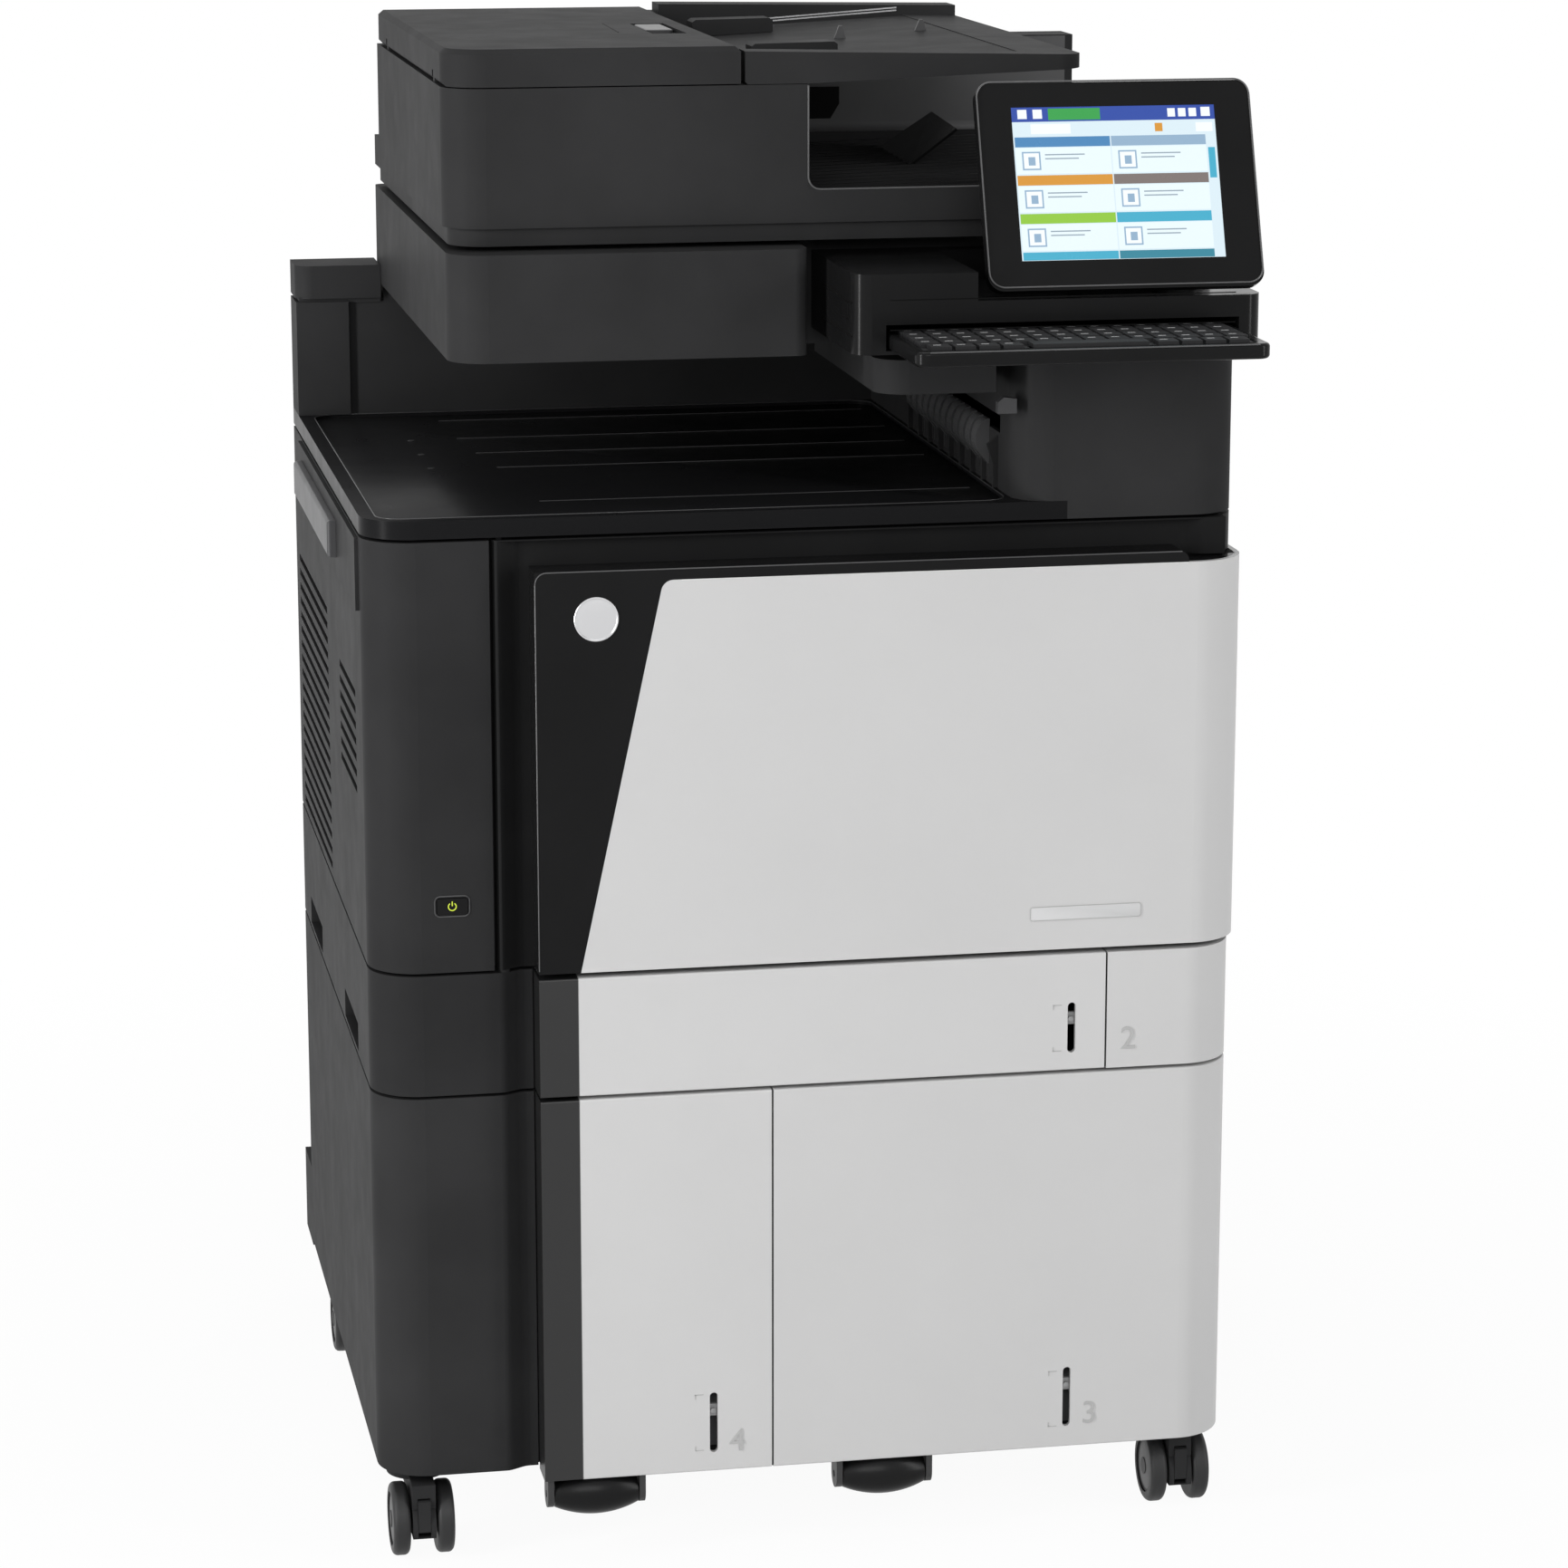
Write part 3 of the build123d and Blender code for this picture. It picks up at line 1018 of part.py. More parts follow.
with BuildPart() as display_housing:
    with BuildSketch(display_plane):
        with Locations((0, display_size[1] / 2)):
            RectangleRounded(display_size[0], display_size[1], display_corner)
    extrude(amount=-display_size[2])
    rear_face = display_housing.faces().sort_by_distance(
        display_plane.from_local_coords((0, display_size[1] / 2, -display_size[2])))[0]
    fillet(rear_face.edges(), 10)
    with BuildSketch(display_plane):
        with Locations((screen_aside, screen_low + screen_size[1] / 2)):
            Rectangle(screen_size[0], screen_size[1])
    extrude(amount=-screen_thickness, mode=Mode.SUBTRACT)
    with BuildSketch(display_plane.offset(-display_size[2] + 2)):
        with Locations((0, tilt_axis[0])):
            Rectangle(tilt_width, 2 * tilt_knuckle)
    extrude(amount=-(-tilt_axis[1] - display_size[2] + 2))
    rod("x", (tilt_point.X, tilt_point.Y, tilt_point.Z), tilt_knuckle, tilt_width)
    rod("x", (tilt_point.X, tilt_point.Y, tilt_point.Z), tilt_pin + running, tilt_width + 2, Mode.SUBTRACT)
save(display_housing.part, "display_housing")

with BuildPart() as display_screen:
    with BuildSketch(display_plane.offset(-screen_thickness)):
        with Locations((screen_aside, screen_low + screen_size[1] / 2)):
            Rectangle(screen_size[0], screen_size[1])
    extrude(amount=screen_thickness - 0.4)
save(display_screen.part, "display_screen")

key_middle = ((key_area_x[0] + key_area_x[1]) / 2, (key_area_y[0] + key_area_y[1]) / 2)
space_y = key_middle[1] - 2 * key_row_pitch
space_size = (space_keys * key_pitch - (key_pitch - key_size[0]), key_size[1])
with BuildPart() as keyboard_tray:
    block(board_x, (front - keyboard_reach, board_rear), (board_bottom, board_top))
    fillet(keyboard_tray.edges().filter_by(Axis.Z).group_by(Axis.Y)[0], 10)
    fillet(keyboard_tray.faces().sort_by(Axis.Y)[0].edges().filter_by(Axis.X), 3)
    block(key_area_x, key_area_y, (board_top - key_pocket, board_top + 1), Mode.SUBTRACT)
    with Locations(*[(key_middle[0] + side * 30, space_y, board_top - key_pocket) for side in (-1, 1)]):
        Cylinder(2.05, 12, mode=Mode.SUBTRACT)
save(keyboard_tray.part, "keyboard_tray")

with BuildPart() as keyboard_keys:
    block(key_area_x, key_area_y, (board_top - key_pocket, board_top - key_pocket + 0.8))
    block((key_middle[0] - space_size[0] / 2 - 1, key_middle[0] + space_size[0] / 2 + 1),
          (space_y - space_size[1] / 2 - 1, space_y + space_size[1] / 2 + 1), (board_bottom, board_top), Mode.SUBTRACT)
    with Locations((key_middle[0], key_middle[1] + key_row_pitch / 2, board_top + key_rise / 2 - 0.8)):
        with GridLocations(key_pitch, key_row_pitch, 14, 4):
            Box(key_size[0], key_size[1], key_rise + 1)
    for row_x in (key_middle[0] - 4.75 * key_pitch, key_middle[0] + 4.75 * key_pitch):
        with Locations((row_x, space_y, board_top + key_rise / 2 - 0.8)):
            with GridLocations(key_pitch, key_row_pitch, 4, 1):
                Box(key_size[0], key_size[1], key_rise + 1)
save(keyboard_keys.part, "keyboard_keys")

with BuildPart() as space_bar:
    block((key_middle[0] - space_size[0] / 2, key_middle[0] + space_size[0] / 2),
          (space_y - space_size[1] / 2, space_y + space_size[1] / 2), (board_top - 0.2, board_top + key_rise))
    with Locations(*[(key_middle[0] + side * 30, space_y, board_top - 2) for side in (-1, 1)]):
        Cylinder(2, 5)
save(space_bar.part, "space_bar")
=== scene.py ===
"""Dressing of a floor-standing colour copier: finishes, small fittings, display picture and studio."""
from __future__ import annotations

import logging
import math
from dataclasses import dataclass, field
from enum import Enum

import bpy
import numpy as np
from mathutils import Matrix, Vector


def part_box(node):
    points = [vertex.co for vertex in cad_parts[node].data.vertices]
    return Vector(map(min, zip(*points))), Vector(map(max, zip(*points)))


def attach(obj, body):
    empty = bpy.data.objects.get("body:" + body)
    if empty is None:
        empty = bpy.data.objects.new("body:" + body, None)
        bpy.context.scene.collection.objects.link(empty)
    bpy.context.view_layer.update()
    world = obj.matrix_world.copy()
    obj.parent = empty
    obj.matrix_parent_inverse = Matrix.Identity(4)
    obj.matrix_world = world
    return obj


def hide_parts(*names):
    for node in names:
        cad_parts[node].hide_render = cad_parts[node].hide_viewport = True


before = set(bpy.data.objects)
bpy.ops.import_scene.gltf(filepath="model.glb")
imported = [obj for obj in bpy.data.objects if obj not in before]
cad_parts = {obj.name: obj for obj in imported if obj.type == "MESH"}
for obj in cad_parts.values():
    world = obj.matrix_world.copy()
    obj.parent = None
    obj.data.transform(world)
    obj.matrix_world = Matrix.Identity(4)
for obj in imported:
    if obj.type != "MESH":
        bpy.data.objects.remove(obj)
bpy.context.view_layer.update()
LOG = logging.getLogger("copier")

Piece = bpy.types.Object
Triple = tuple[float, float, float]
Pair = tuple[float, float]
OUTWARD = (0.0, -1.0, 0.0)


# ------------------------------------------------------------------ shader maths
class Graph:
    """The node tree of one material, with a short way to add and join nodes."""

    def __init__(self, name: str) -> None:
        """Starts an empty material.

        Args:
            name: the material's name.
        """
        self.material = bpy.data.materials.new(name)
        self.material.use_nodes = True
        self.tree = self.material.node_tree
        self.tree.nodes.clear()
        self.output = self.tree.nodes.new("ShaderNodeOutputMaterial")

    def node(self, kind: str, settings: dict | None = None, inputs: dict | None = None) -> bpy.types.Node:
        """Adds a node, sets it up, then fills or links its sockets.

        Args:
            kind: the node's type name without its ShaderNode prefix.
            settings: attributes set first.
            inputs: socket name or number to a plain value, a socket or a Value.

        Returns:
            The new node.
        """
        made = self.tree.nodes.new("ShaderNode" + kind)
        for key, value in (settings or {}).items():
            setattr(made, key, value)
        for key, value in (inputs or {}).items():
            socket = made.inputs[key]
            if isinstance(value, Value):
                self.tree.links.new(value.socket, socket)
            elif isinstance(value, bpy.types.NodeSocket):
                self.tree.links.new(value, socket)
            else:
                socket.default_value = value
        return made

    def place(self) -> bpy.types.NodeSocket:
        """The point on the object in its own coordinates."""
        return self.node("TexCoord").outputs["Object"]

    def axes(self) -> tuple["Value", "Value", "Value"]:
        """The point's X, Y and Z as values."""
        split = self.node("SeparateXYZ", inputs={0: self.place()})
        return tuple(Value(self, split.outputs[i]) for i in range(3))

    def noise(self, scale: float, detail: float = 2.0, rough: float = 0.5) -> "Value":
        """Noise between about 0.2 and 0.8 at the given number of cells to a metre."""
        made = self.node("TexNoise", inputs={"Vector": self.place(), "Scale": scale, "Detail": detail,
                                             "Roughness": rough})
        return Value(self, made.outputs["Fac"])

    def blend(self, factor: "Value | float", first: object, second: object) -> bpy.types.NodeSocket:
        """Mixes two colours.

        Args:
            factor: 0 for the first colour, 1 for the second.
            first: a colour or a colour socket.
            second: a colour or a colour socket.

        Returns:
            The mixed colour's socket.
        """
        mixed = self.node("Mix", {"data_type": "RGBA"}, {0: factor})
        for slot, colour in ((6, first), (7, second)):
            if isinstance(colour, bpy.types.NodeSocket):
                self.tree.links.new(colour, mixed.inputs[slot])
            else:
                mixed.inputs[slot].default_value = (*colour, 1.0)
        return mixed.outputs[2]

    def bump(self, height: "Value", distance: float) -> bpy.types.NodeSocket:
        """The normal of a surface raised by a height, where distance is what a height of 1 stands for."""
        return self.node("Bump", inputs={"Height": height, "Distance": distance,
                                         "Strength": 1.0}).outputs["Normal"]

    def surface(self, **inputs: object) -> bpy.types.Material:
        """Ends the tree in a Principled shader.

        Args:
            **inputs: socket names, with underscores for spaces, and their values or links.

        Returns:
            The finished material.
        """
        named = {key.replace("_", " "): value for key, value in inputs.items()}
        shader = self.node("BsdfPrincipled", inputs=named)
        self.tree.links.new(shader.outputs[0], self.output.inputs[0])
        return self.material


class Value:
    """A number on a socket that takes part in Python arithmetic."""

    def __init__(self, graph: Graph, socket: bpy.types.NodeSocket) -> None:
        """Wraps a socket of a graph."""
        self.graph = graph
        self.socket = socket

    def math(self, operation: str, *others: "Value | float") -> "Value":
        """Adds one Math node with this value first and the others after it."""
        made = self.graph.node("Math", {"operation": operation}, dict(enumerate((self, *others))))
        return Value(self.graph, made.outputs[0])

    def __add__(self, other: "Value | float") -> "Value":
        """Sum."""
        return self.math("ADD", other)

    def __sub__(self, other: "Value | float") -> "Value":
        """Difference."""
        return self.math("SUBTRACT", other)

    def __mul__(self, other: "Value | float") -> "Value":
        """Product."""
        return self.math("MULTIPLY", other)

    def above(self, limit: float) -> "Value":
        """1 where the value is over the limit, and 0 elsewhere."""
        return self.math("GREATER_THAN", limit)

    def size(self) -> "Value":
        """The value without its sign."""
        return self.math("ABSOLUTE")

    def wave(self, pitch: float) -> "Value":
        """A sine from 0 to 1 that repeats at the pitch."""
        return (self * (2 * math.pi / pitch)).math("SINE") * 0.5 + 0.5

    def ramp(self, low: float, high: float, start: float = 0.0, end: float = 1.0) -> "Value":
        """Carries the stretch from low to high over to start to end, held at its ends."""
        made = self.graph.node("MapRange", {"clamp": True}, {0: self, 1: low, 2: high, 3: start, 4: end})
        return Value(self.graph, made.outputs[0])


# ------------------------------------------------------------------ finishes
@dataclass(frozen=True)
class Finish:
    """A finish with one colour, a broken gloss and a fine moulded grain."""

    name: str
    colour: Triple
    roughness: float = 0.4
    grain: float = 900.0
    depth: float = 0.00004
    metallic: float = 0.0
    coat: float = 0.0
    tint: float = 0.12
    specular: float = 0.5
    slot: str = "black"

    def colours(self, graph: Graph) -> bpy.types.NodeSocket:
        """The colour over the surface: slightly lighter and darker in broad soft patches."""
        patch = graph.noise(9.0, 3.0)
        darker = tuple(c * (1 - self.tint) for c in self.colour)
        lighter = tuple(min(1.0, c * (1 + self.tint)) for c in self.colour)
        return graph.blend(patch.ramp(0.3, 0.7), darker, lighter)

    def gloss(self, graph: Graph) -> Value:
        """The roughness over the surface, with faint handling marks."""
        return graph.noise(26.0, 4.0, 0.6).ramp(0.3, 0.7, self.roughness - 0.03, self.roughness + 0.03)

    def height(self, graph: Graph) -> Value:
        """The grain's height between 0 and 1."""
        return graph.noise(self.grain, 2.0, 0.6)

    def shade(self, graph: Graph) -> bpy.types.Material:
        """Ends the finish's node tree in its shader."""
        return graph.surface(Base_Color=self.colours(graph), Roughness=self.gloss(graph), Metallic=self.metallic,
                             Coat_Weight=self.coat, Specular_IOR_Level=self.specular,
                             Normal=graph.bump(self.height(graph), self.depth))

    def material(self) -> bpy.types.Material:
        """The finish as a material, made once."""
        title = f"finish_{self.name}"
        return bpy.data.materials.get(title) or self.shade(Graph(title))

    def dress(self, *pieces: Piece) -> None:
        """Puts the finish on every slot of the pieces.

        Args:
            *pieces: the objects to paint.
        """
        for piece in pieces:
            if not piece.data.materials:
                piece.data.materials.append(self.material())
            for index in range(len(piece.material_slots)):
                piece.material_slots[index].material = self.material()


@dataclass(frozen=True)
class TwoTone(Finish):
    """A front that is dark left of an upright edge and light right of it, with a fine groove between."""

    dark: Triple = (0.006, 0.006, 0.0062)
    edge: float = 0.0

    def colours(self, graph: Graph) -> bpy.types.NodeSocket:
        """Dark up to the edge, the light colour beyond it, and a hair line between."""
        across = graph.axes()[0]
        body = graph.blend(across.above(self.edge), self.dark, super().colours(graph))
        line = (across - self.edge).size().ramp(0.0, 0.0007, 1.0, 0.0)
        return graph.blend(line * 0.8, body, (0.012, 0.012, 0.012))


@dataclass(frozen=True)
class DarkFoot(Finish):
    """A light moulding whose part below a level is moulded in black."""

    dark: Triple = (0.016, 0.016, 0.0165)
    level: float = 0.0

    def colours(self, graph: Graph) -> bpy.types.NodeSocket:
        """Black under the level and the finish's own colour over it."""
        return graph.blend(graph.axes()[2].above(self.level), self.dark, super().colours(graph))


@dataclass(frozen=True)
class Brushed(Finish):
    """Metal brushed along X."""

    def height(self, graph: Graph) -> Value:
        """Noise drawn out along X."""
        stretched = graph.node("Mapping", inputs={"Vector": graph.place(), "Scale": (20.0, 900.0, 900.0)})
        made = graph.node("TexNoise", inputs={"Vector": stretched.outputs[0], "Scale": 1.0, "Detail": 2.0})
        return Value(graph, made.outputs["Fac"])


@dataclass(frozen=True)
class Lit(Finish):
    """A display colour that gives off its own light."""

    power: float = 0.75

    def shade(self, graph: Graph) -> bpy.types.Material:
        """A dim smooth surface that emits the colour with a faint dot grid."""
        across, _, up = graph.axes()
        grid = (across.wave(0.0006) * up.wave(0.0006)).ramp(0.0, 1.0, 0.9, 1.0)
        glow = graph.blend(grid, tuple(c * 0.9 for c in self.colour), self.colour)
        return graph.surface(Base_Color=(*(c * 0.15 for c in self.colour), 1.0), Roughness=self.gloss(graph),
                             Specular_IOR_Level=self.specular, Emission_Color=glow, Emission_Strength=self.power)


@dataclass(frozen=True)
class Glass(Finish):
    """Clear flat glass."""

    def shade(self, graph: Graph) -> bpy.types.Material:
        """A glossy coat over a dark see-through body."""
        return graph.surface(Base_Color=self.colours(graph), Roughness=self.gloss(graph), Alpha=0.35,
                             Normal=graph.bump(self.height(graph), self.depth))


BLACK = Finish("moulding", (0.029, 0.029, 0.0295), 0.46, specular=0.008)
COLUMN = Finish("column", (0.025, 0.025, 0.0255), 0.42, specular=0.008)
DEEP_BLACK = Finish("inner_black", (0.009, 0.009, 0.0095), 0.5, specular=0.1)
FRAME = Finish("door_moulding", (0.013, 0.013, 0.0132), 0.36, specular=0.02)
SHELF_BLACK = Finish("shelf", (0.009, 0.009, 0.0095), 0.3, grain=60.0, depth=0.000002, tint=0.03, specular=0.03)
GLOSS_BLACK = Finish("gloss", (0.008, 0.008, 0.0082), 0.2, grain=60.0, depth=0.00001, specular=0.08,
                     slot="gloss_black")
# Near-black for parting lines and slits, and also painted shade: the strips in the gaps between the fronts and the
# plate in the feeder's outlet stand for the shade there.
SEAM_AND_SHADE = Finish("parting_line_and_painted_shade", (0.004, 0.004, 0.004), 0.6, specular=0.05)
# Painted highlight: the thin beads along gloss black edges take this lighter grey so that the edges read as catching
# the light.
HIGHLIGHT_BEAD = Finish("painted_highlight_bead", (0.075, 0.075, 0.076), 0.3, specular=0.4, slot="gloss_black")
# Painted faint highlight: ribs, dots, rims, the button ring, the release lever and the tray fins take this grey,
# lighter than the black round them, so that their edges read as catching the light.
DIM_HIGHLIGHT = Finish("soft_painted_highlight", (0.045, 0.045, 0.046), 0.35, specular=0.3)
# Painted light: the feeder bay's rear wall is black moulding, given this lighter grey to make up for the shade it gets
# under the tray.
BRIGHTENED_WALL = Finish("inner_wall_painted_light", (0.075, 0.075, 0.076), 0.45, specular=0.2)
LIGHT = Finish("light_panel", (0.53, 0.527, 0.524), 0.42, grain=1100.0, depth=0.00003, tint=0.012,
               specular=0.25, slot="light")
# Painted highlight: a lighter copy of the light panel colour for the bead along the panel's top edge.
LIGHT_PANEL_HIGHLIGHT = Finish("light_panel_highlight", (0.64, 0.637, 0.633), 0.35, tint=0.01, slot="light")
DARK_METAL = Finish("painted_metal", (0.03, 0.03, 0.032), 0.5, metallic=0.4, specular=0.2, slot="dark_metal")
GREY = Finish("grey_inside", (0.24, 0.245, 0.25), 0.5, tint=0.05, slot="inner_grey")
STEEL = Brushed("brushed_steel", (0.5, 0.5, 0.52), 0.34, metallic=1.0, depth=0.00002, tint=0.05, slot="steel")
SILVER = Brushed("badge_silver", (0.62, 0.62, 0.63), 0.25, metallic=0.9, depth=0.000004, tint=0.03, slot="steel")
RUBBER = Finish("soft_rubber", (0.016, 0.016, 0.017), 0.62, grain=500.0, depth=0.0001, slot="rubber")
TREAD = Finish("tyre_tread", (0.022, 0.022, 0.0225), 0.5, grain=420.0, depth=0.00008, specular=0.25, slot="tyre")
CAP = Finish("wheel_cap", (0.035, 0.035, 0.036), 0.4, specular=0.3, slot="tyre")
ROLLER = Finish("roller", (0.006, 0.006, 0.0062), 0.3, grain=300.0, depth=0.00006, specular=0.14)
# Painted highlight: the outlet fingers are gloss black, given this lighter grey base so that they show the glints on
# their curves.
FINGER_HIGHLIGHT = Finish("outlet_finger", (0.10, 0.10, 0.102), 0.14, grain=80.0, depth=0.00001, specular=0.7,
                slot="gloss_black")
HANDLE = Finish("handle", (0.05, 0.05, 0.052), 0.4, specular=0.25, slot="handle_grey")
WHITE = Finish("backing_sheet", (0.78, 0.78, 0.77), 0.6, tint=0.02, slot="white")
KEYS = Finish("key_caps", (0.022, 0.022, 0.023), 0.42, grain=1600.0, specular=0.2, slot="keys")
LEGEND = Finish("key_marks", (0.42, 0.42, 0.42), 0.5, tint=0.02, slot="white")
MARK = Finish("moulded_mark", (0.39, 0.388, 0.385), 0.45, tint=0.01, slot="light")
PLATE = Finish("name_plate", (0.55, 0.55, 0.55), 0.3, depth=0.00001, tint=0.01, slot="light")
GLASS = Glass("glass", (0.5, 0.6, 0.6), 0.06, depth=0.0, slot="glass")
SYMBOL = Lit("power_symbol", (0.62, 0.75, 0.05), power=1.0, slot="power_green")
GAUGE = Finish("gauge", (0.3, 0.3, 0.3), 0.4, slot="gauge_orange")
BOLT = Finish("bolt", (0.12, 0.12, 0.125), 0.35, metallic=0.8, slot="steel")
TONERS = {
    "yellow": Finish("toner_yellow", (0.75, 0.55, 0.03), 0.4, tint=0.05, slot="yellow"),
    "magenta": Finish("toner_magenta", (0.55, 0.03, 0.2), 0.4, tint=0.05, slot="magenta"),
    "cyan": Finish("toner_cyan", (0.02, 0.3, 0.55), 0.4, tint=0.05, slot="cyan"),
    "black": Finish("toner_key", (0.03, 0.03, 0.03), 0.4, slot="toner_black"),
}


# ------------------------------------------------------------------ meshes
def linked(name: str, data: bpy.types.ID) -> Piece:
    """Makes an object of a mesh, curve, lamp or camera and links it to the scene."""
    made = bpy.data.objects.new(name, data)
    bpy.context.scene.collection.objects.link(made)
    return made


def put(name: str, points: np.ndarray, faces: list | np.ndarray, smooth: bool = True) -> Piece:
    """Makes an object of points and faces, with faces pointing outwards.

    Args:
        name: the object's name.
        points: (n, 3) array in metres.
        faces: lists of point numbers.
        smooth: whether the surface is shaded smooth, with creases over 35 degrees.

    Returns:
        The new object, at the origin.
    """
    mesh = bpy.data.meshes.new(name)
    mesh.from_pydata(points.tolist(), [], [list(map(int, f)) for f in faces])
    mesh.update()
    made = linked(name, mesh)
    if smooth:
        mesh.shade_smooth()
        mesh.set_sharp_from_angle(angle=math.radians(35))
    return made


def ring_faces(rings: int, around: int, cap_start: bool = True, cap_end: bool = True) -> list:
    """Faces of a closed tube of rings: quads between neighbouring rings, and a flat cap at each end."""
    i = np.arange(rings - 1)[:, None] * around
    j = np.arange(around)[None, :]
    k = (j + 1) % around
    quads = np.stack((i + j, i + k, i + around + k, i + around + j), axis=-1).reshape(-1, 4).tolist()
    if cap_start:
        quads.append(list(range(around))[::-1])
    if cap_end:
        quads.append(list(range((rings - 1) * around, rings * around)))
    return quads


def rounded_outline(width: float, height: float, radius: float, per_corner: int = 7) -> tuple[np.ndarray, np.ndarray]:
    """A rectangle with round corners.

    Each corner is a quarter circle about its own centre, so a point is that centre plus the radius times the
    direction (cos a, sin a), and the outward normal is the same direction.

    Args:
        width: full width.
        height: full height.
        radius: corner radius.
        per_corner: points on each corner.

    Returns:
        Points and unit normals, (n, 2) each, going round anticlockwise.
    """
    turn = np.linspace(0, math.pi / 2, per_corner)
    angle = np.concatenate([turn + quarter * math.pi / 2 for quarter in range(4)])
    normal = np.stack((np.cos(angle), np.sin(angle)), axis=-1)
    sign = np.repeat(np.array(((1, 1), (-1, 1), (-1, -1), (1, -1)), float), per_corner, axis=0)
    centre = sign * (np.array((width, height)) / 2 - radius)
    return centre + radius * normal, normal


@dataclass(frozen=True)
class Place:
    """Where a flat detail sits: its centre, its right-hand and upward directions; its face looks along right x up."""

    centre: Triple
    right: Triple = (1.0, 0.0, 0.0)
    up: Triple = (0.0, 0.0, 1.0)

    def world(self, flat: np.ndarray) -> np.ndarray:
        """Carries (across, up, outward) coordinates to the row frame."""
        right, up = np.array(self.right), np.array(self.up)
        return np.array(self.centre) + flat[:, :1] * right + flat[:, 1:2] * up + flat[:, 2:3] * np.cross(right, up)


def raised(name: str, outline: np.ndarray, normal: np.ndarray, profile: tuple[Pair, ...], place: Place) -> Piece:
    """A plate whose rim follows a profile.

    A ring is the outline moved inwards along its normals by the profile's inset and raised by its height.

    Args:
        name: the object's name.
        outline: (n, 2) closed outline.
        normal: (n, 2) outward normals.
        profile: (inset, height) pairs from the foot to the face.
        place: where the plate's foot sits.

    Returns:
        The plate as an object.
    """
    steps = np.array(profile)
    rings = outline[None] - normal[None] * steps[:, :1, None]
    heights = np.broadcast_to(steps[:, 1:2, None], (*rings.shape[:2], 1))
    points = place.world(np.concatenate((rings, heights), axis=-1).reshape(-1, 3))
    return put(name, points, ring_faces(len(steps), len(outline)))


def boxes(name: str, rectangles: np.ndarray, place: Place, thickness: float, lift: float = 0.0) -> Piece:
    """Many thin plates in one mesh: each is a rectangle's four corners at two heights.

    Args:
        name: the object's name.
        rectangles: (n, 4) rows of left, bottom, width and height.
        place: the plane that they lie on.
        thickness: height of each plate.
        lift: how far the plates' feet stand off the plane.

    Returns:
        The plates as one object.
    """
    rects = np.asarray(rectangles, float)
    corner = np.array(((0, 0, 0), (1, 0, 0), (1, 1, 0), (0, 1, 0), (0, 0, 1), (1, 0, 1), (1, 1, 1), (0, 1, 1)), float)
    flat = rects[:, None, :2] + corner[None, :, :2] * rects[:, None, 2:]
    high = np.broadcast_to(lift + corner[None, :, 2:] * thickness, (*flat.shape[:2], 1))
    points = place.world(np.concatenate((flat, high), axis=-1).reshape(-1, 3))
    side = np.array(((0, 3, 2, 1), (4, 5, 6, 7), (0, 1, 5, 4), (1, 2, 6, 5), (2, 3, 7, 6), (3, 0, 4, 7)))
    faces = (side[None] + 8 * np.arange(len(rects))[:, None, None]).reshape(-1, 4)
    return put(name, points, faces, smooth=False)


def tube(name: str, path: np.ndarray, radius: float | np.ndarray, around: int = 12) -> Piece:
    """A round bar along a path.

    Each ring is the path point plus the radius times (cos a, sin a) in the plane across the path's direction.

    Args:
        name: the object's name.
        path: (n, 3) points.
        radius: one radius, or one for each point.
        around: points on each ring.

    Returns:
        The bar as an object.
    """
    along = np.gradient(path, axis=0)
    along /= np.linalg.norm(along, axis=1, keepdims=True)
    helper = np.array((0.13, 0.31, 0.94))
    side = np.cross(along, helper)
    side /= np.linalg.norm(side, axis=1, keepdims=True)
    other = np.cross(along, side)
    angle = np.linspace(0, 2 * math.pi, around, endpoint=False)[None, :, None]
    reach = np.broadcast_to(np.asarray(radius, float), (len(path),))[:, None, None]
    points = path[:, None] + reach * (np.cos(angle) * side[:, None] + np.sin(angle) * other[:, None])
    return put(name, points.reshape(-1, 3), ring_faces(len(path), around))


def turned(name: str, profile: np.ndarray, centre: np.ndarray, axis: int, around: int = 48) -> Piece:
    """A turned shape: each (along, radius) pair of the profile becomes a ring round the axis.

    Args:
        name: the object's name.
        profile: (n, 2) pairs of distance along the axis and radius.
        centre: a point on the axis.
        axis: 0, 1 or 2 for X, Y or Z.
        around: points on each ring.

    Returns:
        The shape as an object.
    """
    angle = np.linspace(0, 2 * math.pi, around, endpoint=False)
    points = np.zeros((len(profile), around, 3))
    points[..., axis] = profile[:, :1]
    points[..., (axis + 1) % 3] = profile[:, 1:] * np.cos(angle)
    points[..., (axis + 2) % 3] = profile[:, 1:] * np.sin(angle)
    return put(name, (points + centre).reshape(-1, 3), ring_faces(len(profile), around))


def prism(name: str, outline: np.ndarray, along: Triple) -> Piece:
    """A flat outline swept straight along a vector.

    Each point p of the outline gives the two points p and p + along.

    Args:
        name: the object's name.
        outline: (n, 3) points going round.
        along: the sweep's vector.

    Returns:
        The solid as an object.
    """
    rings = np.stack((outline, outline + along))
    return put(name, rings.reshape(-1, 3), ring_faces(2, len(outline)))


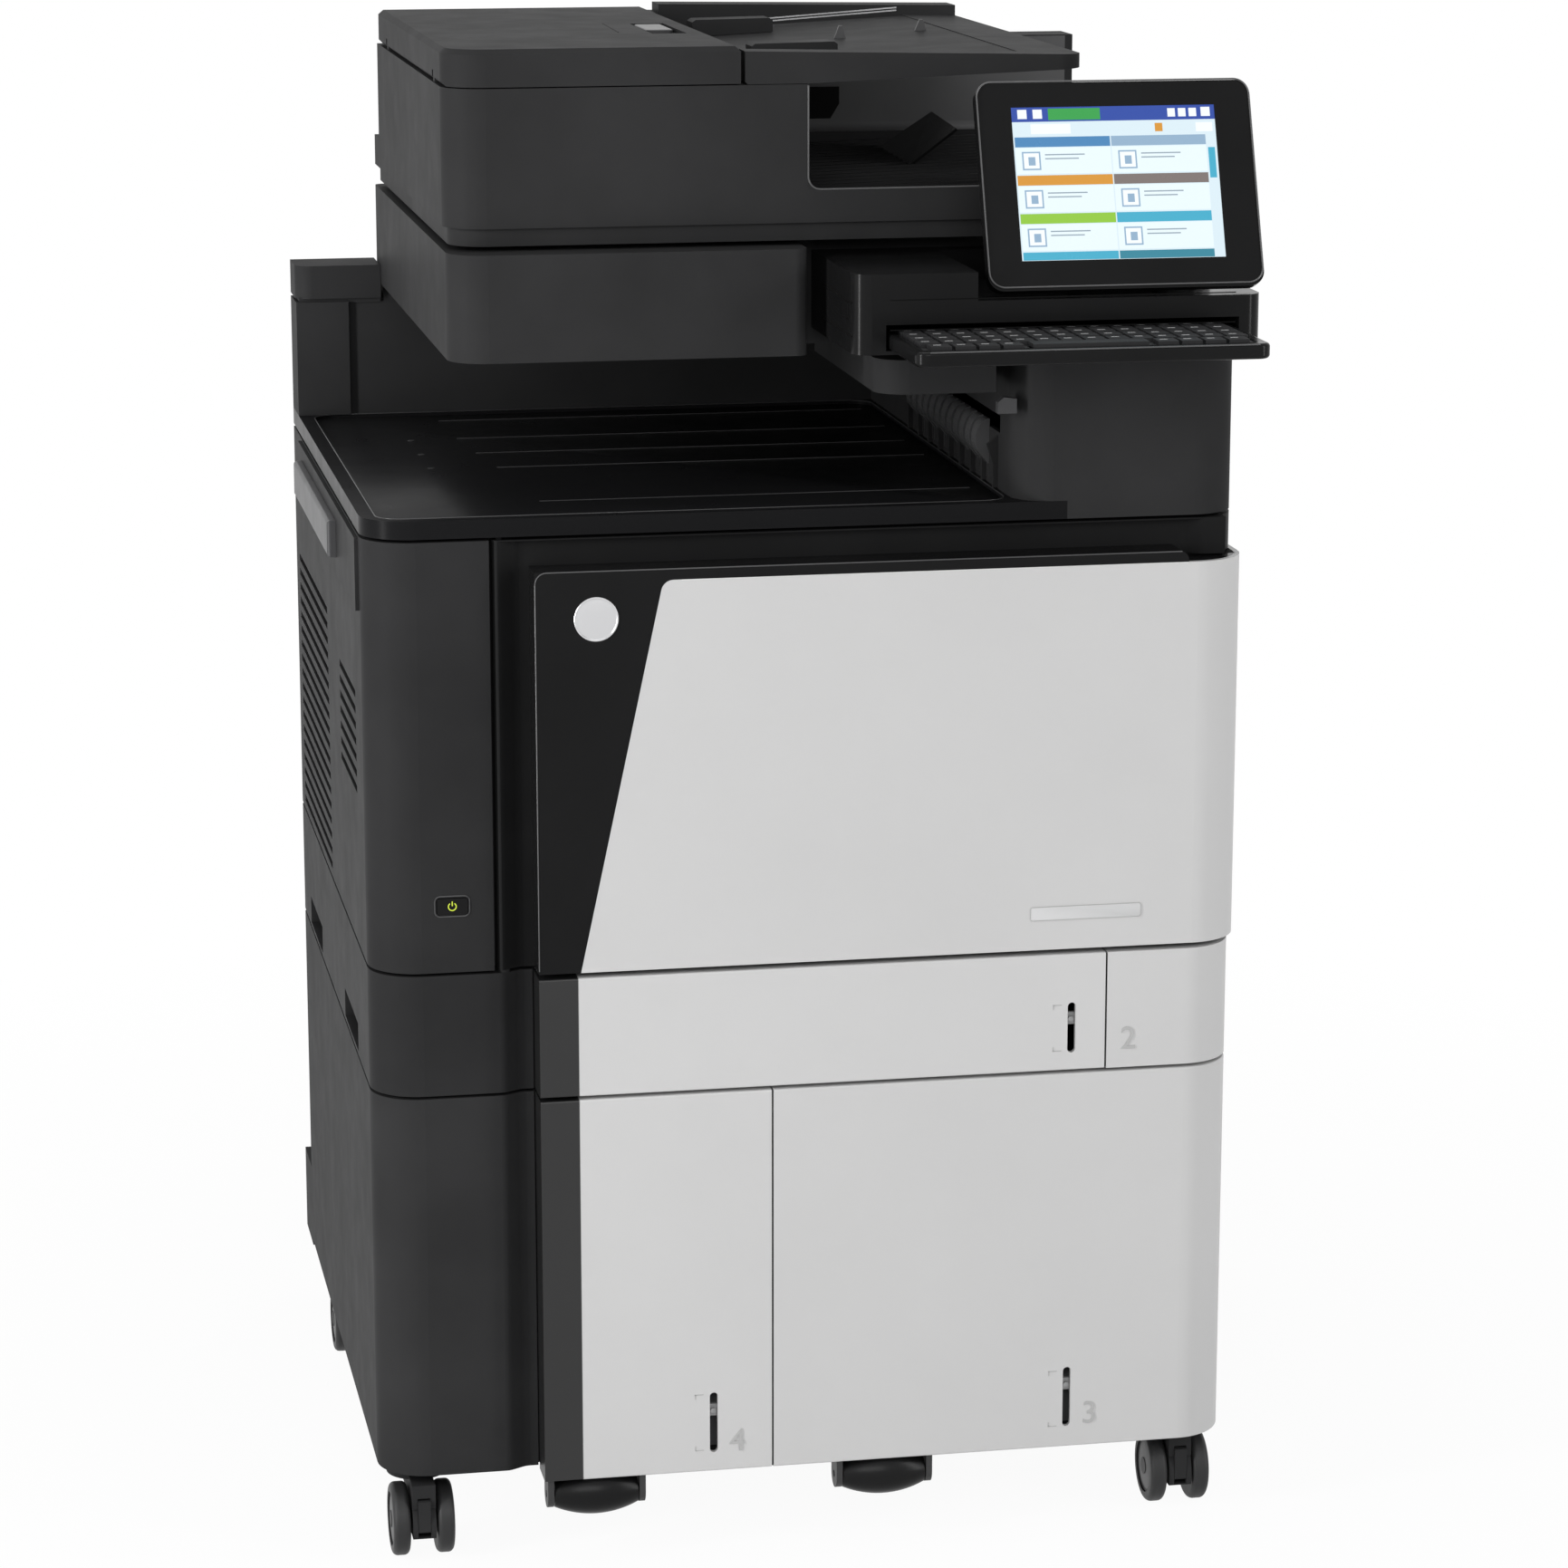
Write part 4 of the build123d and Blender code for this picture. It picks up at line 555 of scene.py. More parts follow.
def loop(name: str, path: np.ndarray, radius: float, normal: np.ndarray, around: int = 8) -> Piece:
    """A round bar along a closed flat path.

    Each ring is the path point plus the radius times (cos a, sin a) between the path's normal and its side.

    Args:
        name: the object's name.
        path: (n, 3) points going round.
        radius: the bar's radius.
        normal: the unit normal of the path's plane.
        around: points on each ring.

    Returns:
        The ring as an object.
    """
    along = np.roll(path, -1, axis=0) - np.roll(path, 1, axis=0)
    along /= np.linalg.norm(along, axis=1, keepdims=True)
    side = np.cross(along, normal)
    angle = np.linspace(0, 2 * math.pi, around, endpoint=False)[None, :, None]
    points = path[:, None] + radius * (np.cos(angle) * side[:, None] + np.sin(angle) * np.asarray(normal))
    i, j = np.meshgrid(np.arange(len(path)), np.arange(around), indexing="ij")
    k, following = (j + 1) % around, (i + 1) % len(path)
    faces = np.stack((i * around + j, i * around + k, following * around + k, following * around + j), axis=-1)
    return put(name, points.reshape(-1, 3), faces.reshape(-1, 4))


def studs(name: str, centres: np.ndarray, place: Place, radius: float, height: float,
          around: int = 18) -> Piece:
    """Many round heads in one mesh, each a low turned dome.

    Args:
        name: the object's name.
        centres: (n, 2) centres on the place's plane.
        place: the plane.
        radius: the heads' radius.
        height: how far they stand off it.
        around: points on each ring.

    Returns:
        The heads as one object.
    """
    angle = np.linspace(0, 2 * math.pi, around, endpoint=False)
    steps = np.array(((1.0, 0.0), (1.0, 0.6), (0.8, 1.0), (0.3, 1.0)))
    flat = np.stack((radius * steps[:, :1] * np.cos(angle), radius * steps[:, :1] * np.sin(angle),
                     np.broadcast_to(height * steps[:, 1:], (len(steps), around))), axis=-1).reshape(-1, 3)
    points, faces = [], []
    for number, centre in enumerate(np.asarray(centres, float)):
        points.append(place.world(flat + (*centre, 0.0)))
        faces += [[index + number * len(flat) for index in face] for face in ring_faces(len(steps), around)]
    return put(name, np.concatenate(points), faces)


def rim_of(outline: np.ndarray, height: float, place: Place) -> np.ndarray:
    """Points (n, 3) of an outline (n, 2) laid on a place at a height over it."""
    return place.world(np.column_stack((outline, np.full(len(outline), height))))


def arc(centre: Pair, radius: float, start: float, end: float, steps: int = 9) -> np.ndarray:
    """Points (n, 2) on a circle between two angles in degrees: centre + radius (cos a, sin a)."""
    angle = np.radians(np.linspace(start, end, steps))
    return np.array(centre) + radius * np.stack((np.cos(angle), np.sin(angle)), axis=-1)


def box_of(node: str) -> tuple[np.ndarray, np.ndarray]:
    """Lowest and highest corner of a CAD node as arrays."""
    low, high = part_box(node)
    return np.array(low), np.array(high)


def corner_of(node: str, *ends: int) -> np.ndarray:
    """A corner of a node's box: for each axis 0 takes the low side and 1 the high side."""
    box = box_of(node)
    return np.array([box[end][axis] for axis, end in enumerate(ends)])


def off(start: np.ndarray, *offsets: Triple) -> np.ndarray:
    """Points (n, 3) that lie at offsets in millimetres from a start."""
    return start + np.array(offsets, float) / 1000


@dataclass
class Assembly:
    """Something made of pieces that ride on CAD bodies."""

    made: list[Piece] = field(default_factory=list, init=False)

    def keep(self, piece: Piece, finish: Finish, body: str) -> Piece:
        """Paints a new piece and sets it on its body.

        Args:
            piece: the new object.
            finish: what it is painted with.
            body: the CAD body that carries it.

        Returns:
            The piece.
        """
        finish.dress(piece)
        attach(piece, body)
        self.made.append(piece)
        return piece

    def build(self) -> None:
        """Makes the assembly's pieces."""

    def run(self) -> None:
        """Builds the assembly and reports each new piece."""
        self.build()
        for piece in self.made:
            LOG.info("%s: %s, %d faces", type(self).__name__, piece.name, len(piece.data.polygons))


class Direction(Enum):
    """The way that a flat detail looks, as its right-hand and upward directions."""

    FRONT = ((1.0, 0.0, 0.0), (0.0, 0.0, 1.0))
    LEFT = ((0.0, -1.0, 0.0), (0.0, 0.0, 1.0))
    BACK = ((-1.0, 0.0, 0.0), (0.0, 0.0, 1.0))
    UP = ((1.0, 0.0, 0.0), (0.0, 1.0, 0.0))

    def at(self, *centre: float) -> Place:
        """A place with this direction."""
        return Place(tuple(centre), *self.value)


# ------------------------------------------------------------------ the copier
NODES = {
    COLUMN: "tray_unit_shell engine_shell",
    LIGHT: "corner_cover door_panel",
    DARK_METAL: "rear_cover imaging_unit scan_carriage",
    GREY: "inner_cover collection_box",
    STEEL: "fuser_unit",
    SHELF_BLACK: "output_shelf",
    GLASS: "scan_glass",
    FRAME: "door_frame",
    GLOSS_BLACK: "panel_base door_trim power_button display_housing display_screen keyboard_tray",
    HANDLE: "carry_handle",
    WHITE: "adf_backing",
    RUBBER: "adf_pickup_roller",
    DEEP_BLACK: "adf_guide_front adf_guide_rear",
    KEYS: "keyboard_keys space_bar",
}


@dataclass
class Paint(Assembly):
    """Finishes of the CAD nodes."""

    strip_width: float = 0.031
    foot_height: float = 0.012

    def build(self) -> None:
        """Paints every CAD node by what it is."""
        finishes = {name: finish for finish, names in NODES.items() for name in names.split()}
        edge = float(box_of("tray_4_front")[0][0]) + self.strip_width
        two_tone = TwoTone("front_two_tone", LIGHT.colour, LIGHT.roughness, LIGHT.grain, LIGHT.depth,
                           tint=LIGHT.tint, edge=edge)
        bins = DarkFoot("bin_grey", GREY.colour, GREY.roughness, tint=GREY.tint,
                        level=float(box_of("stand_shell")[0][2]) + self.foot_height)
        for name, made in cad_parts.items():
            if name.startswith("toner_"):
                TONERS[name.removeprefix("toner_")].dress(made)
            elif name in finishes:
                finishes[name].dress(made)
            elif name.endswith("_bin"):
                bins.dress(made)
            elif name.endswith("_roller"):
                ROLLER.dress(made)
            elif name.endswith("_gauge"):
                GAUGE.dress(made)
            elif name.startswith("caster_wheels"):
                TREAD.dress(made)
            elif name.endswith("_front"):
                (LIGHT if name == "tray_3_front" else two_tone).dress(made)
            else:
                BLACK.dress(made)


@dataclass
class Badges(Assembly):
    """The bare badge, name plate and power symbol on the front."""

    badge_radius: float = 0.0175
    badge_from_left: float = 0.048
    badge_from_top: float = 0.038
    plate_size: Pair = (0.091, 0.011)
    plate_from_right: float = 0.1325
    plate_from_foot: float = 0.030
    plate_round: float = 0.0018
    rim_profile: tuple = ((0, 0), (0, 0.0007), (0.0004, 0.001), (0.0012, 0.001), (0.0015, 0.0007))
    disc_profile: tuple = ((0, 0.0), (0, 0.0006), (0.002, 0.0008), (0.007, 0.0010), (0.012, 0.0011))
    plate_profile: tuple = ((0, 0), (0, 0.0003), (0.0003, 0.0005))
    glyph_radius: float = 0.0031
    glyph_bead: float = 0.00045
    glyph_sink: float = 0.0001
    glyph_span: Pair = (125, 415)
    glyph_bar: Triple = (0.0005, 0.002, 0.0042)

    def build(self) -> None:
        """Makes the three fittings."""
        low, high = box_of("door_trim")
        face = float(low[1])
        outline, normal = rounded_outline(2 * self.badge_radius, 2 * self.badge_radius, self.badge_radius - 1e-5, 16)
        place = Direction.FRONT.at(low[0] + self.badge_from_left, face, high[2] - self.badge_from_top)
        self.keep(raised("badge_rim", outline, normal, self.rim_profile, place), SILVER, "front_door")
        inset = self.rim_profile[-1][0]
        self.keep(raised("badge_disc", outline - normal * inset, normal, self.disc_profile, place), SILVER,
                  "front_door")
        outline, normal = rounded_outline(*self.plate_size, self.plate_round)
        right = float(box_of("door_panel")[1][0])
        place = Direction.FRONT.at(right - self.plate_from_right, face, low[2] + self.plate_from_foot)
        self.keep(raised("name_plate", outline, normal, self.plate_profile, place), PLATE, "front_door")
        self.keep(loop("name_plate_rim", rim_of(outline, 0.0004, place), 0.0003, OUTWARD), MARK, "front_door")
        self.symbol()

    def symbol(self) -> None:
        """Draws the power symbol: an open circle and the upright bar in its gap."""
        low, high = box_of("power_button")
        centre = (low + high) / 2
        face = low[1] - self.glyph_sink
        turn = np.linspace(*map(math.radians, self.glyph_span), 22)
        circle = np.stack((centre[0] + self.glyph_radius * np.cos(turn), np.full(22, face),
                           centre[2] + self.glyph_radius * np.sin(turn)), axis=-1)
        self.keep(tube("power_arc", circle, self.glyph_bead, 8), SYMBOL, "power_button")
        bar = np.array([[centre[0], face, centre[2] + rise] for rise in self.glyph_bar])
        self.keep(tube("power_bar", bar, self.glyph_bead, 8), SYMBOL, "power_button")


@dataclass
class TrayMarks(Assembly):
    """Numerals and level brackets moulded on the tray fronts."""

    numeral_height: float = 0.0195
    relief: float = 0.0006
    slot_to_numeral: float = 0.0193
    bracket_left: float = -0.0155
    bracket_arm: Triple = (0.007, 0.004, 0.0006)
    bracket_foot: float = 0.0015
    bracket_head: Pair = (0.0021, 0.0055)
    bracket_relief: float = 0.0003
    rows: tuple = (("tray_2", "corner_cover", "cabinet", 2, 0.018, 0.0235, 0.0145, 0.042),
                   ("tray_3", "tray_3_front", "tray_3", 3, None, 0.0275, 0.0165, 0.0513),
                   ("tray_4", "tray_4_front", "tray_4", 4, None, 0.0243, 0.0165, 0.0513))

    def numeral(self, digit: int, place: Place) -> Piece:
        """One numeral as a raised mesh, centred on its place."""
        curve = bpy.data.curves.new(f"numeral_{digit}", "FONT")
        curve.body = str(digit)
        curve.align_x, curve.align_y = "CENTER", "CENTER"
        curve.size = self.numeral_height * 1.38
        curve.extrude = self.relief
        curve.resolution_u = 6
        made = linked(f"numeral_{digit}", curve)
        mesh = bpy.data.meshes.new_from_object(made.evaluated_get(bpy.context.evaluated_depsgraph_get()))
        bpy.data.objects.remove(made)
        right, up = Vector(place.right), Vector(place.up)
        turn = Matrix((right, up, right.cross(up))).transposed().to_4x4()
        mesh.transform(Matrix.Translation(place.centre) @ turn)
        return linked(f"numeral_{digit}", mesh)

    def build(self) -> None:
        """Makes each tray's numeral and brackets."""
        for tray, carrier, body, digit, from_left, up, foot_rise, height in self.rows:
            gauge_low, gauge_high = box_of(f"{tray}_gauge")
            slot_x = float(gauge_low[0] + gauge_high[0]) / 2
            low = box_of(carrier)[0]
            across = low[0] + from_left if from_left is not None else slot_x + self.slot_to_numeral
            place = Direction.FRONT.at(across, low[1], low[2] + up)
            self.keep(self.numeral(digit, place), MARK, body)
            front = box_of(f"{tray}_front")[0]
            foot = front[2] + foot_rise
            top = foot + height
            left, base, (long, short, thin) = self.bracket_left, self.bracket_foot, self.bracket_arm
            rects = [(left, base, long, thin), (left, base, thin, short),
                     (left, top - foot - self.bracket_head[0], long, thin),
                     (left, top - foot - self.bracket_head[1], thin, short)]
            self.keep(boxes(f"{tray}_bracket", rects, Direction.FRONT.at(slot_x, front[1], foot),
                            self.bracket_relief), MARK, tray)


class Tone(Enum):
    """Colours of the display's picture."""

    BAR = (0.01, 0.05, 0.32)
    GREEN = (0.02, 0.30, 0.05)
    PALE = (0.62, 0.74, 0.80)
    TILE = (0.72, 0.82, 0.86)
    WHITE = (0.80, 0.84, 0.86)
    BLUE = (0.05, 0.20, 0.42)
    SLATE = (0.25, 0.38, 0.52)
    ORANGE = (0.60, 0.26, 0.02)
    BROWN = (0.17, 0.14, 0.13)
    LIME = (0.24, 0.50, 0.03)
    AQUA = (0.04, 0.36, 0.52)
    TEAL = (0.02, 0.20, 0.28)
    INK = (0.25, 0.32, 0.38)


@dataclass
class Display(Assembly):
    """The picture on the touch display: bars and plain tiles without words."""

    tilt: float = math.radians(21)
    slab: float = 0.0016
    layer: float = 0.00006

    def screen(self) -> tuple[Place, float, float]:
        """Where the picture sits.

        Returns:
            The place at the picture's bottom left corner, and its width and height.
        """
        low, high = box_of("display_screen")
        up = (0.0, math.sin(self.tilt), math.cos(self.tilt))
        height = (high[2] - low[2] - self.slab * math.sin(self.tilt)) / math.cos(self.tilt)
        foot = (float(low[0]), float(low[1]), float(low[2]) + self.slab * math.sin(self.tilt))
        return Place(foot, (1.0, 0.0, 0.0), up), float(high[0] - low[0]), float(height)

    def build(self) -> None:
        """Lays the picture in thin lit plates, layer over layer."""
        place, width, height = self.screen()
        unit = height / 100.0
        wide = width / unit
        half = (wide - 9) / 2
        rows = [(Tone.PALE, 0, [(0, 0, wide, 100)]),
                (Tone.BAR, 1, [(0, 90.5, wide, 9.5)]),
                (Tone.GREEN, 2, [(24, 91.5, 34, 7.5)]),
                (Tone.WHITE, 1, [(12, 82.5, 26, 6.5), (wide - 13, 82.5, 11, 6)]),
                (Tone.ORANGE, 2, [(wide - 40, 83.0, 5, 5.5)]),
                (Tone.WHITE, 2, [(4, 92.5, 6, 6), (14, 92.5, 6, 6), (wide - 31, 92.5, 5, 5.5),
                                 (wide - 24, 92.5, 5, 5.5), (wide - 17, 92.5, 5, 5.5), (wide - 9, 92.5, 6, 6)]),
                (Tone.AQUA, 2, [(wide - 6, 52, 4.5, 20)])]
        heads = ((Tone.BLUE, Tone.SLATE), (Tone.ORANGE, Tone.BROWN), (Tone.LIME, Tone.AQUA), (Tone.AQUA, Tone.TEAL))
        for row, pair in enumerate(heads):
            top = 80.5 - row * 25.0
            for column, tone in enumerate(pair):
                left = 1.0 + column * (half + 0.8)
                rows.append((tone, 2, [(left, max(top - 6.5, 0.3), half, min(6.5, top - 0.3))]))
                if top > 20:
                    rows.append((Tone.TILE, 1, [(left, top - 24, half, 17)]))
                    rows.append((Tone.SLATE, 2, [(left + 4, top - 21.5, 12, 12)]))
                    rows.append((Tone.WHITE, 3, [(left + 5, top - 20.5, 10, 10)]))
                    rows.append((Tone.INK, 2, [(left + 19, top - 12, 26, 0.8), (left + 19, top - 14.6, 22, 0.8)]))
                    rows.append((Tone.SLATE, 4, [(left + 8, top - 18.5, 4.5, 5.5)]))
        grouped: dict[tuple[Tone, int], list] = {}
        for tone, layer, rects in rows:
            grouped.setdefault((tone, layer), []).extend(rects)
        for (tone, layer), rects in grouped.items():
            piece = boxes(f"picture_{tone.name.lower()}_{layer}", np.array(rects) * unit, place,
                          self.layer, layer * self.layer)
            self.keep(piece, Lit(f"lit_{tone.name.lower()}", tone.value, 0.25, power=1.0), "display")


@dataclass
class WheelCaps(Assembly):
    """Hub caps of the twin casters."""

    cap_radius: float = 0.0205
    dome: float = 0.0016
    skirt: float = 0.0025
    sink: float = 0.002

    def build(self) -> None:
        """Makes a domed cap on the outer side of each wheel."""
        for corner in ("front_left", "front_right", "rear_left", "rear_right"):
            low, high = box_of(f"caster_wheels_{corner}")
            centre = (low + high) / 2
            for side, reach in (("a", low[0]), ("b", high[0])):
                sign = -1.0 if side == "a" else 1.0
                span = np.linspace(0, math.pi / 2, 10)
                dome = np.stack((sign * self.dome * np.sin(span), self.cap_radius * np.cos(span) + 0.0002), axis=-1)
                profile = np.concatenate(([(-sign * self.skirt, self.cap_radius)], dome))
                if side == "a":
                    profile = profile[::-1]
                profile = profile + (reach - centre[0] - sign * self.sink, 0)
                self.keep(turned(f"cap_{corner}_{side}", profile, centre, 0, 36), CAP, f"wheels_{corner}")


@dataclass
class FrontTrim(Assembly):
    """Highlights on the front's moulded edges and the ring round the power button."""

    bead: float = 0.0005
    corner_round: float = 9.0
    wrap: float = 52.0
    slant: float = 82.0
    light_bead: float = 0.0004
    ring_bead: float = 0.0006
    ring: Triple = (0.0275, 0.0165, 0.0045)

    def build(self) -> None:
        """Makes the painted highlight beads along the trim's left and top edges and the panel's top edge, and the
        painted highlight ring round the button.
        """
        low, high = box_of("door_trim")
        turn = arc((self.corner_round, -self.corner_round), self.corner_round, 180, 90)
        wide, tall = (high - low)[[0, 2]] * 1000
        path = [(0, 0, -tall + 3), *((x, 0, z) for x, z in turn), (wide - self.wrap, 0, 0)]
        start = corner_of("door_trim", 0, 0, 1) + (0.0004, 0.0, -0.0004)
        # Painted highlight bead along the trim's left and top edges.
        self.keep(tube("trim_edge", off(start, *path), self.bead, 8), HIGHLIGHT_BEAD, "front_door")
        panel = corner_of("door_panel", 0, 0, 1)
        wide = (box_of("door_panel")[1][0] - panel[0]) * 1000
        # Painted highlight bead along the light panel's top edge.
        self.keep(tube("panel_edge", off(panel, *((x, 0.1, -0.3) for x in (self.slant, wide / 2, wide - self.wrap))),
                       self.light_bead, 8), LIGHT_PANEL_HIGHLIGHT, "front_door")
        low, high = box_of("power_button")
        centre = (low + high) / 2
        outline, _ = rounded_outline(*self.ring)
        place = Direction.FRONT.at(centre[0], corner_of("door_frame", 0, 0, 0)[1] - 0.0001, centre[2])
        # Painted faint highlight round the power button's bezel.
        self.keep(loop("button_ring", rim_of(outline, 0.0, place), self.ring_bead, OUTWARD), DIM_HIGHLIGHT, "cabinet")


@dataclass
class FrontGaps(Assembly):
    """Near-black strips in the narrow gaps between the light fronts, each on the tray beside it: painted shade in the
    gaps.
    """

    width: float = 0.0012
    set_back: float = 0.0008
    depth: float = 0.006

    def build(self) -> None:
        """Lines the right edge of trays 4 and 2 with a painted shade strip."""
        for tray in ("tray_4", "tray_2"):
            low, high = box_of(f"{tray}_front")
            foot = np.array((high[0], low[1] + self.set_back, low[2] + 0.001))
            top = high[2] - low[2] - 0.002
            strip = foot + np.array(((0, 0, 0), (self.width, 0, 0), (self.width, 0, top), (0, 0, top)))
            # Painted shade: a near-black strip in the gap beside the tray's front.
            self.keep(prism(f"{tray}_edge", strip, (0.0, self.depth, 0.0)), SEAM_AND_SHADE, tray)


@dataclass
class FeederDetail(Assembly):
    """The exit bay of the document feeder, its stop flap, and the fittings of its cover and input tray."""

    bay_left: float = 285.5
    bay_floor: float = 40.0
    bay_top: float = 121.0
    bay_back: float = 491.0
    lip_round: float = 10.0
    cove: float = 8.0
    edge_end: float = 575.0
    edge_bead: float = 0.0007
    lip_depth: float = 0.008
    wall_width: float = 0.3285
    outlet: tuple = ((365, 79), (409, 79), (409, 64), (401, 51), (365, 51))
    flap: tuple = ((419.5, 238, 32.2), (459.5, 238, 62), (471.5, 388, 63), (425.5, 393, 32.4))
    flap_thickness: Triple = (-0.0013, 0.0, 0.0017)
    lever: Triple = (0.022, 0.066, 0.003)
    lever_place: Triple = (-31.5, 231, -4)
    slit: tuple = ((-67.5, 272, -0.1), (-69, 220, -0.1), (-70.5, 168, -0.1))
    strip_span: tuple = ((68, 13.5), (219, 24))
    strip_wall: float = 462.6
    strip_height: float = 1.2
    strip_pitch: float = 2.4
    fins: tuple = ((129, 267, 15.0, 10.5), (203, 290, 18.8, 9.5))
    strip_relief: float = 0.0005
    fin_depth: float = 0.0025
    lever_profile: tuple = ((0, 0), (0, 0.003), (0.0008, 0.0036))
    slit_bead: float = 0.0005
    guide_length: float = 70.0
    guide_height: float = 12.0
    guide_rise: Triple = (3.2, 3.0, 2.0)
    guide_shift: Triple = (-0.008, 0.0, 0.0)

    def bay(self) -> None:
        """Makes the lip, the painted highlight bead on its edge, the coved rear wall in a lighter grey that paints
        light into its shade, the outlet as a near-black plate of painted shade, and the stop flap.
        """
        start = corner_of("adf_base", 0, 0, 0)
        left, floor, top = self.bay_left, self.bay_floor, self.bay_top
        turn = arc((left + self.lip_round, floor + self.lip_round), self.lip_round, 180, 270)
        lip = [(left, 0.2, floor), *((x, 0.2, z) for x, z in turn)]
        self.keep(prism("bay_lip", off(start, *lip), (0.0, self.lip_depth, 0.0)), BLACK,
                  "document_feeder")
        edge = [(left, 0, top), *((x, 0, z) for x, z in turn), (self.edge_end, 0, floor)]
        # Painted highlight bead along the lip's edge.
        self.keep(tube("bay_edge", off(start, *edge), self.edge_bead, 8), HIGHLIGHT_BEAD, "document_feeder")
        back = self.bay_back - 0.5
        bend = arc((back - self.cove, floor + self.cove), self.cove, 270, 360)
        wall = [(left + 0.5, self.bay_back - 0.05, floor + 0.05), *((left + 0.5, y, z + 0.05) for y, z in bend),
                (left + 0.5, back, top), (left + 0.5, self.bay_back - 0.05, top)]
        # Painted light: the rear wall takes a lighter grey to lift the shade under the tray.
        self.keep(prism("bay_wall", off(start, *wall), (self.wall_width, 0.0, 0.0)), BRIGHTENED_WALL,
                  "document_feeder")
        outlet = [(x, back - 0.3, z) for x, z in self.outlet]
        # Painted shade: a near-black plate on the rear wall stands for the dark outlet hole.
        self.keep(prism("bay_outlet", off(start, *outlet), (0.0, 0.0004, 0.0)), SEAM_AND_SHADE, "document_feeder")
        self.keep(prism("stop_flap", off(start, *self.flap), self.flap_thickness), GLOSS_BLACK,
                  "document_feeder")

    def cover(self) -> None:
        """Makes the cover's release lever and the slit beside it."""
        end = corner_of("adf_cover", 1, 0, 1)
        outline, normal = rounded_outline(*self.lever)
        place = Direction.UP.at(*off(end, self.lever_place)[0])
        # The release lever takes the faint painted highlight grey, lighter than the cover round it.
        self.keep(raised("release_lever", outline, normal, self.lever_profile, place),
                  DIM_HIGHLIGHT, "feeder_cover")
        self.keep(tube("cover_slit", off(end, *self.slit), self.slit_bead, 8), SEAM_AND_SHADE, "feeder_cover")

    def tray(self) -> None:
        """Makes the input tray's strip, its two fins and the paper guides."""
        start = corner_of("adf_input_tray", 0, 0, 0)
        (first, low_end), (last, high_end) = self.strip_span
        for number, rise in enumerate((0.0, self.strip_pitch)):
            corners = ((first, low_end), (last, high_end), (last, high_end + self.strip_height),
                       (first, low_end + self.strip_height))
            strip = [(x, self.strip_wall, z + rise) for x, z in corners]
            self.keep(prism(f"tray_strip_{number}", off(start, *strip), (0.0, self.strip_relief, 0.0)),
                      SILVER, "feeder_tray")
        for number, (x, y, z, tall) in enumerate(self.fins):
            fin = off(start, (x - 5, y, z), (x, y - 1, z), (x + 5, y, z), (x + 2, y, z + tall), (x - 1, y, z + tall))
            # The fins take the faint painted highlight grey.
            self.keep(prism(f"tray_fin_{number}", fin, (0.0, self.fin_depth, 0.0)), DIM_HIGHLIGHT, "feeder_tray")
        long, tall = self.guide_length, self.guide_height
        slope, cut, step = self.guide_rise
        for end in ("front", "rear"):
            low, high = box_of(f"adf_guide_{end}")
            deep = (high[1] - low[1]) * 1000
            outline = [(0, 0, -0.4), (long, 0, slope), (long, 0, cut + tall - step), (long - cut, 0, cut + tall),
                       (cut, 0, step + tall), (0, 0, tall)]
            block = prism(f"guide_block_{end}", off(low + self.guide_shift, *outline), (0.0, deep / 1000, 0.0))
            self.keep(block, BLACK, f"guide_{end}")
            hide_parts(f"adf_guide_{end}")

    def build(self) -> None:
        """Makes the three groups."""
        self.bay()
        self.cover()
        self.tray()


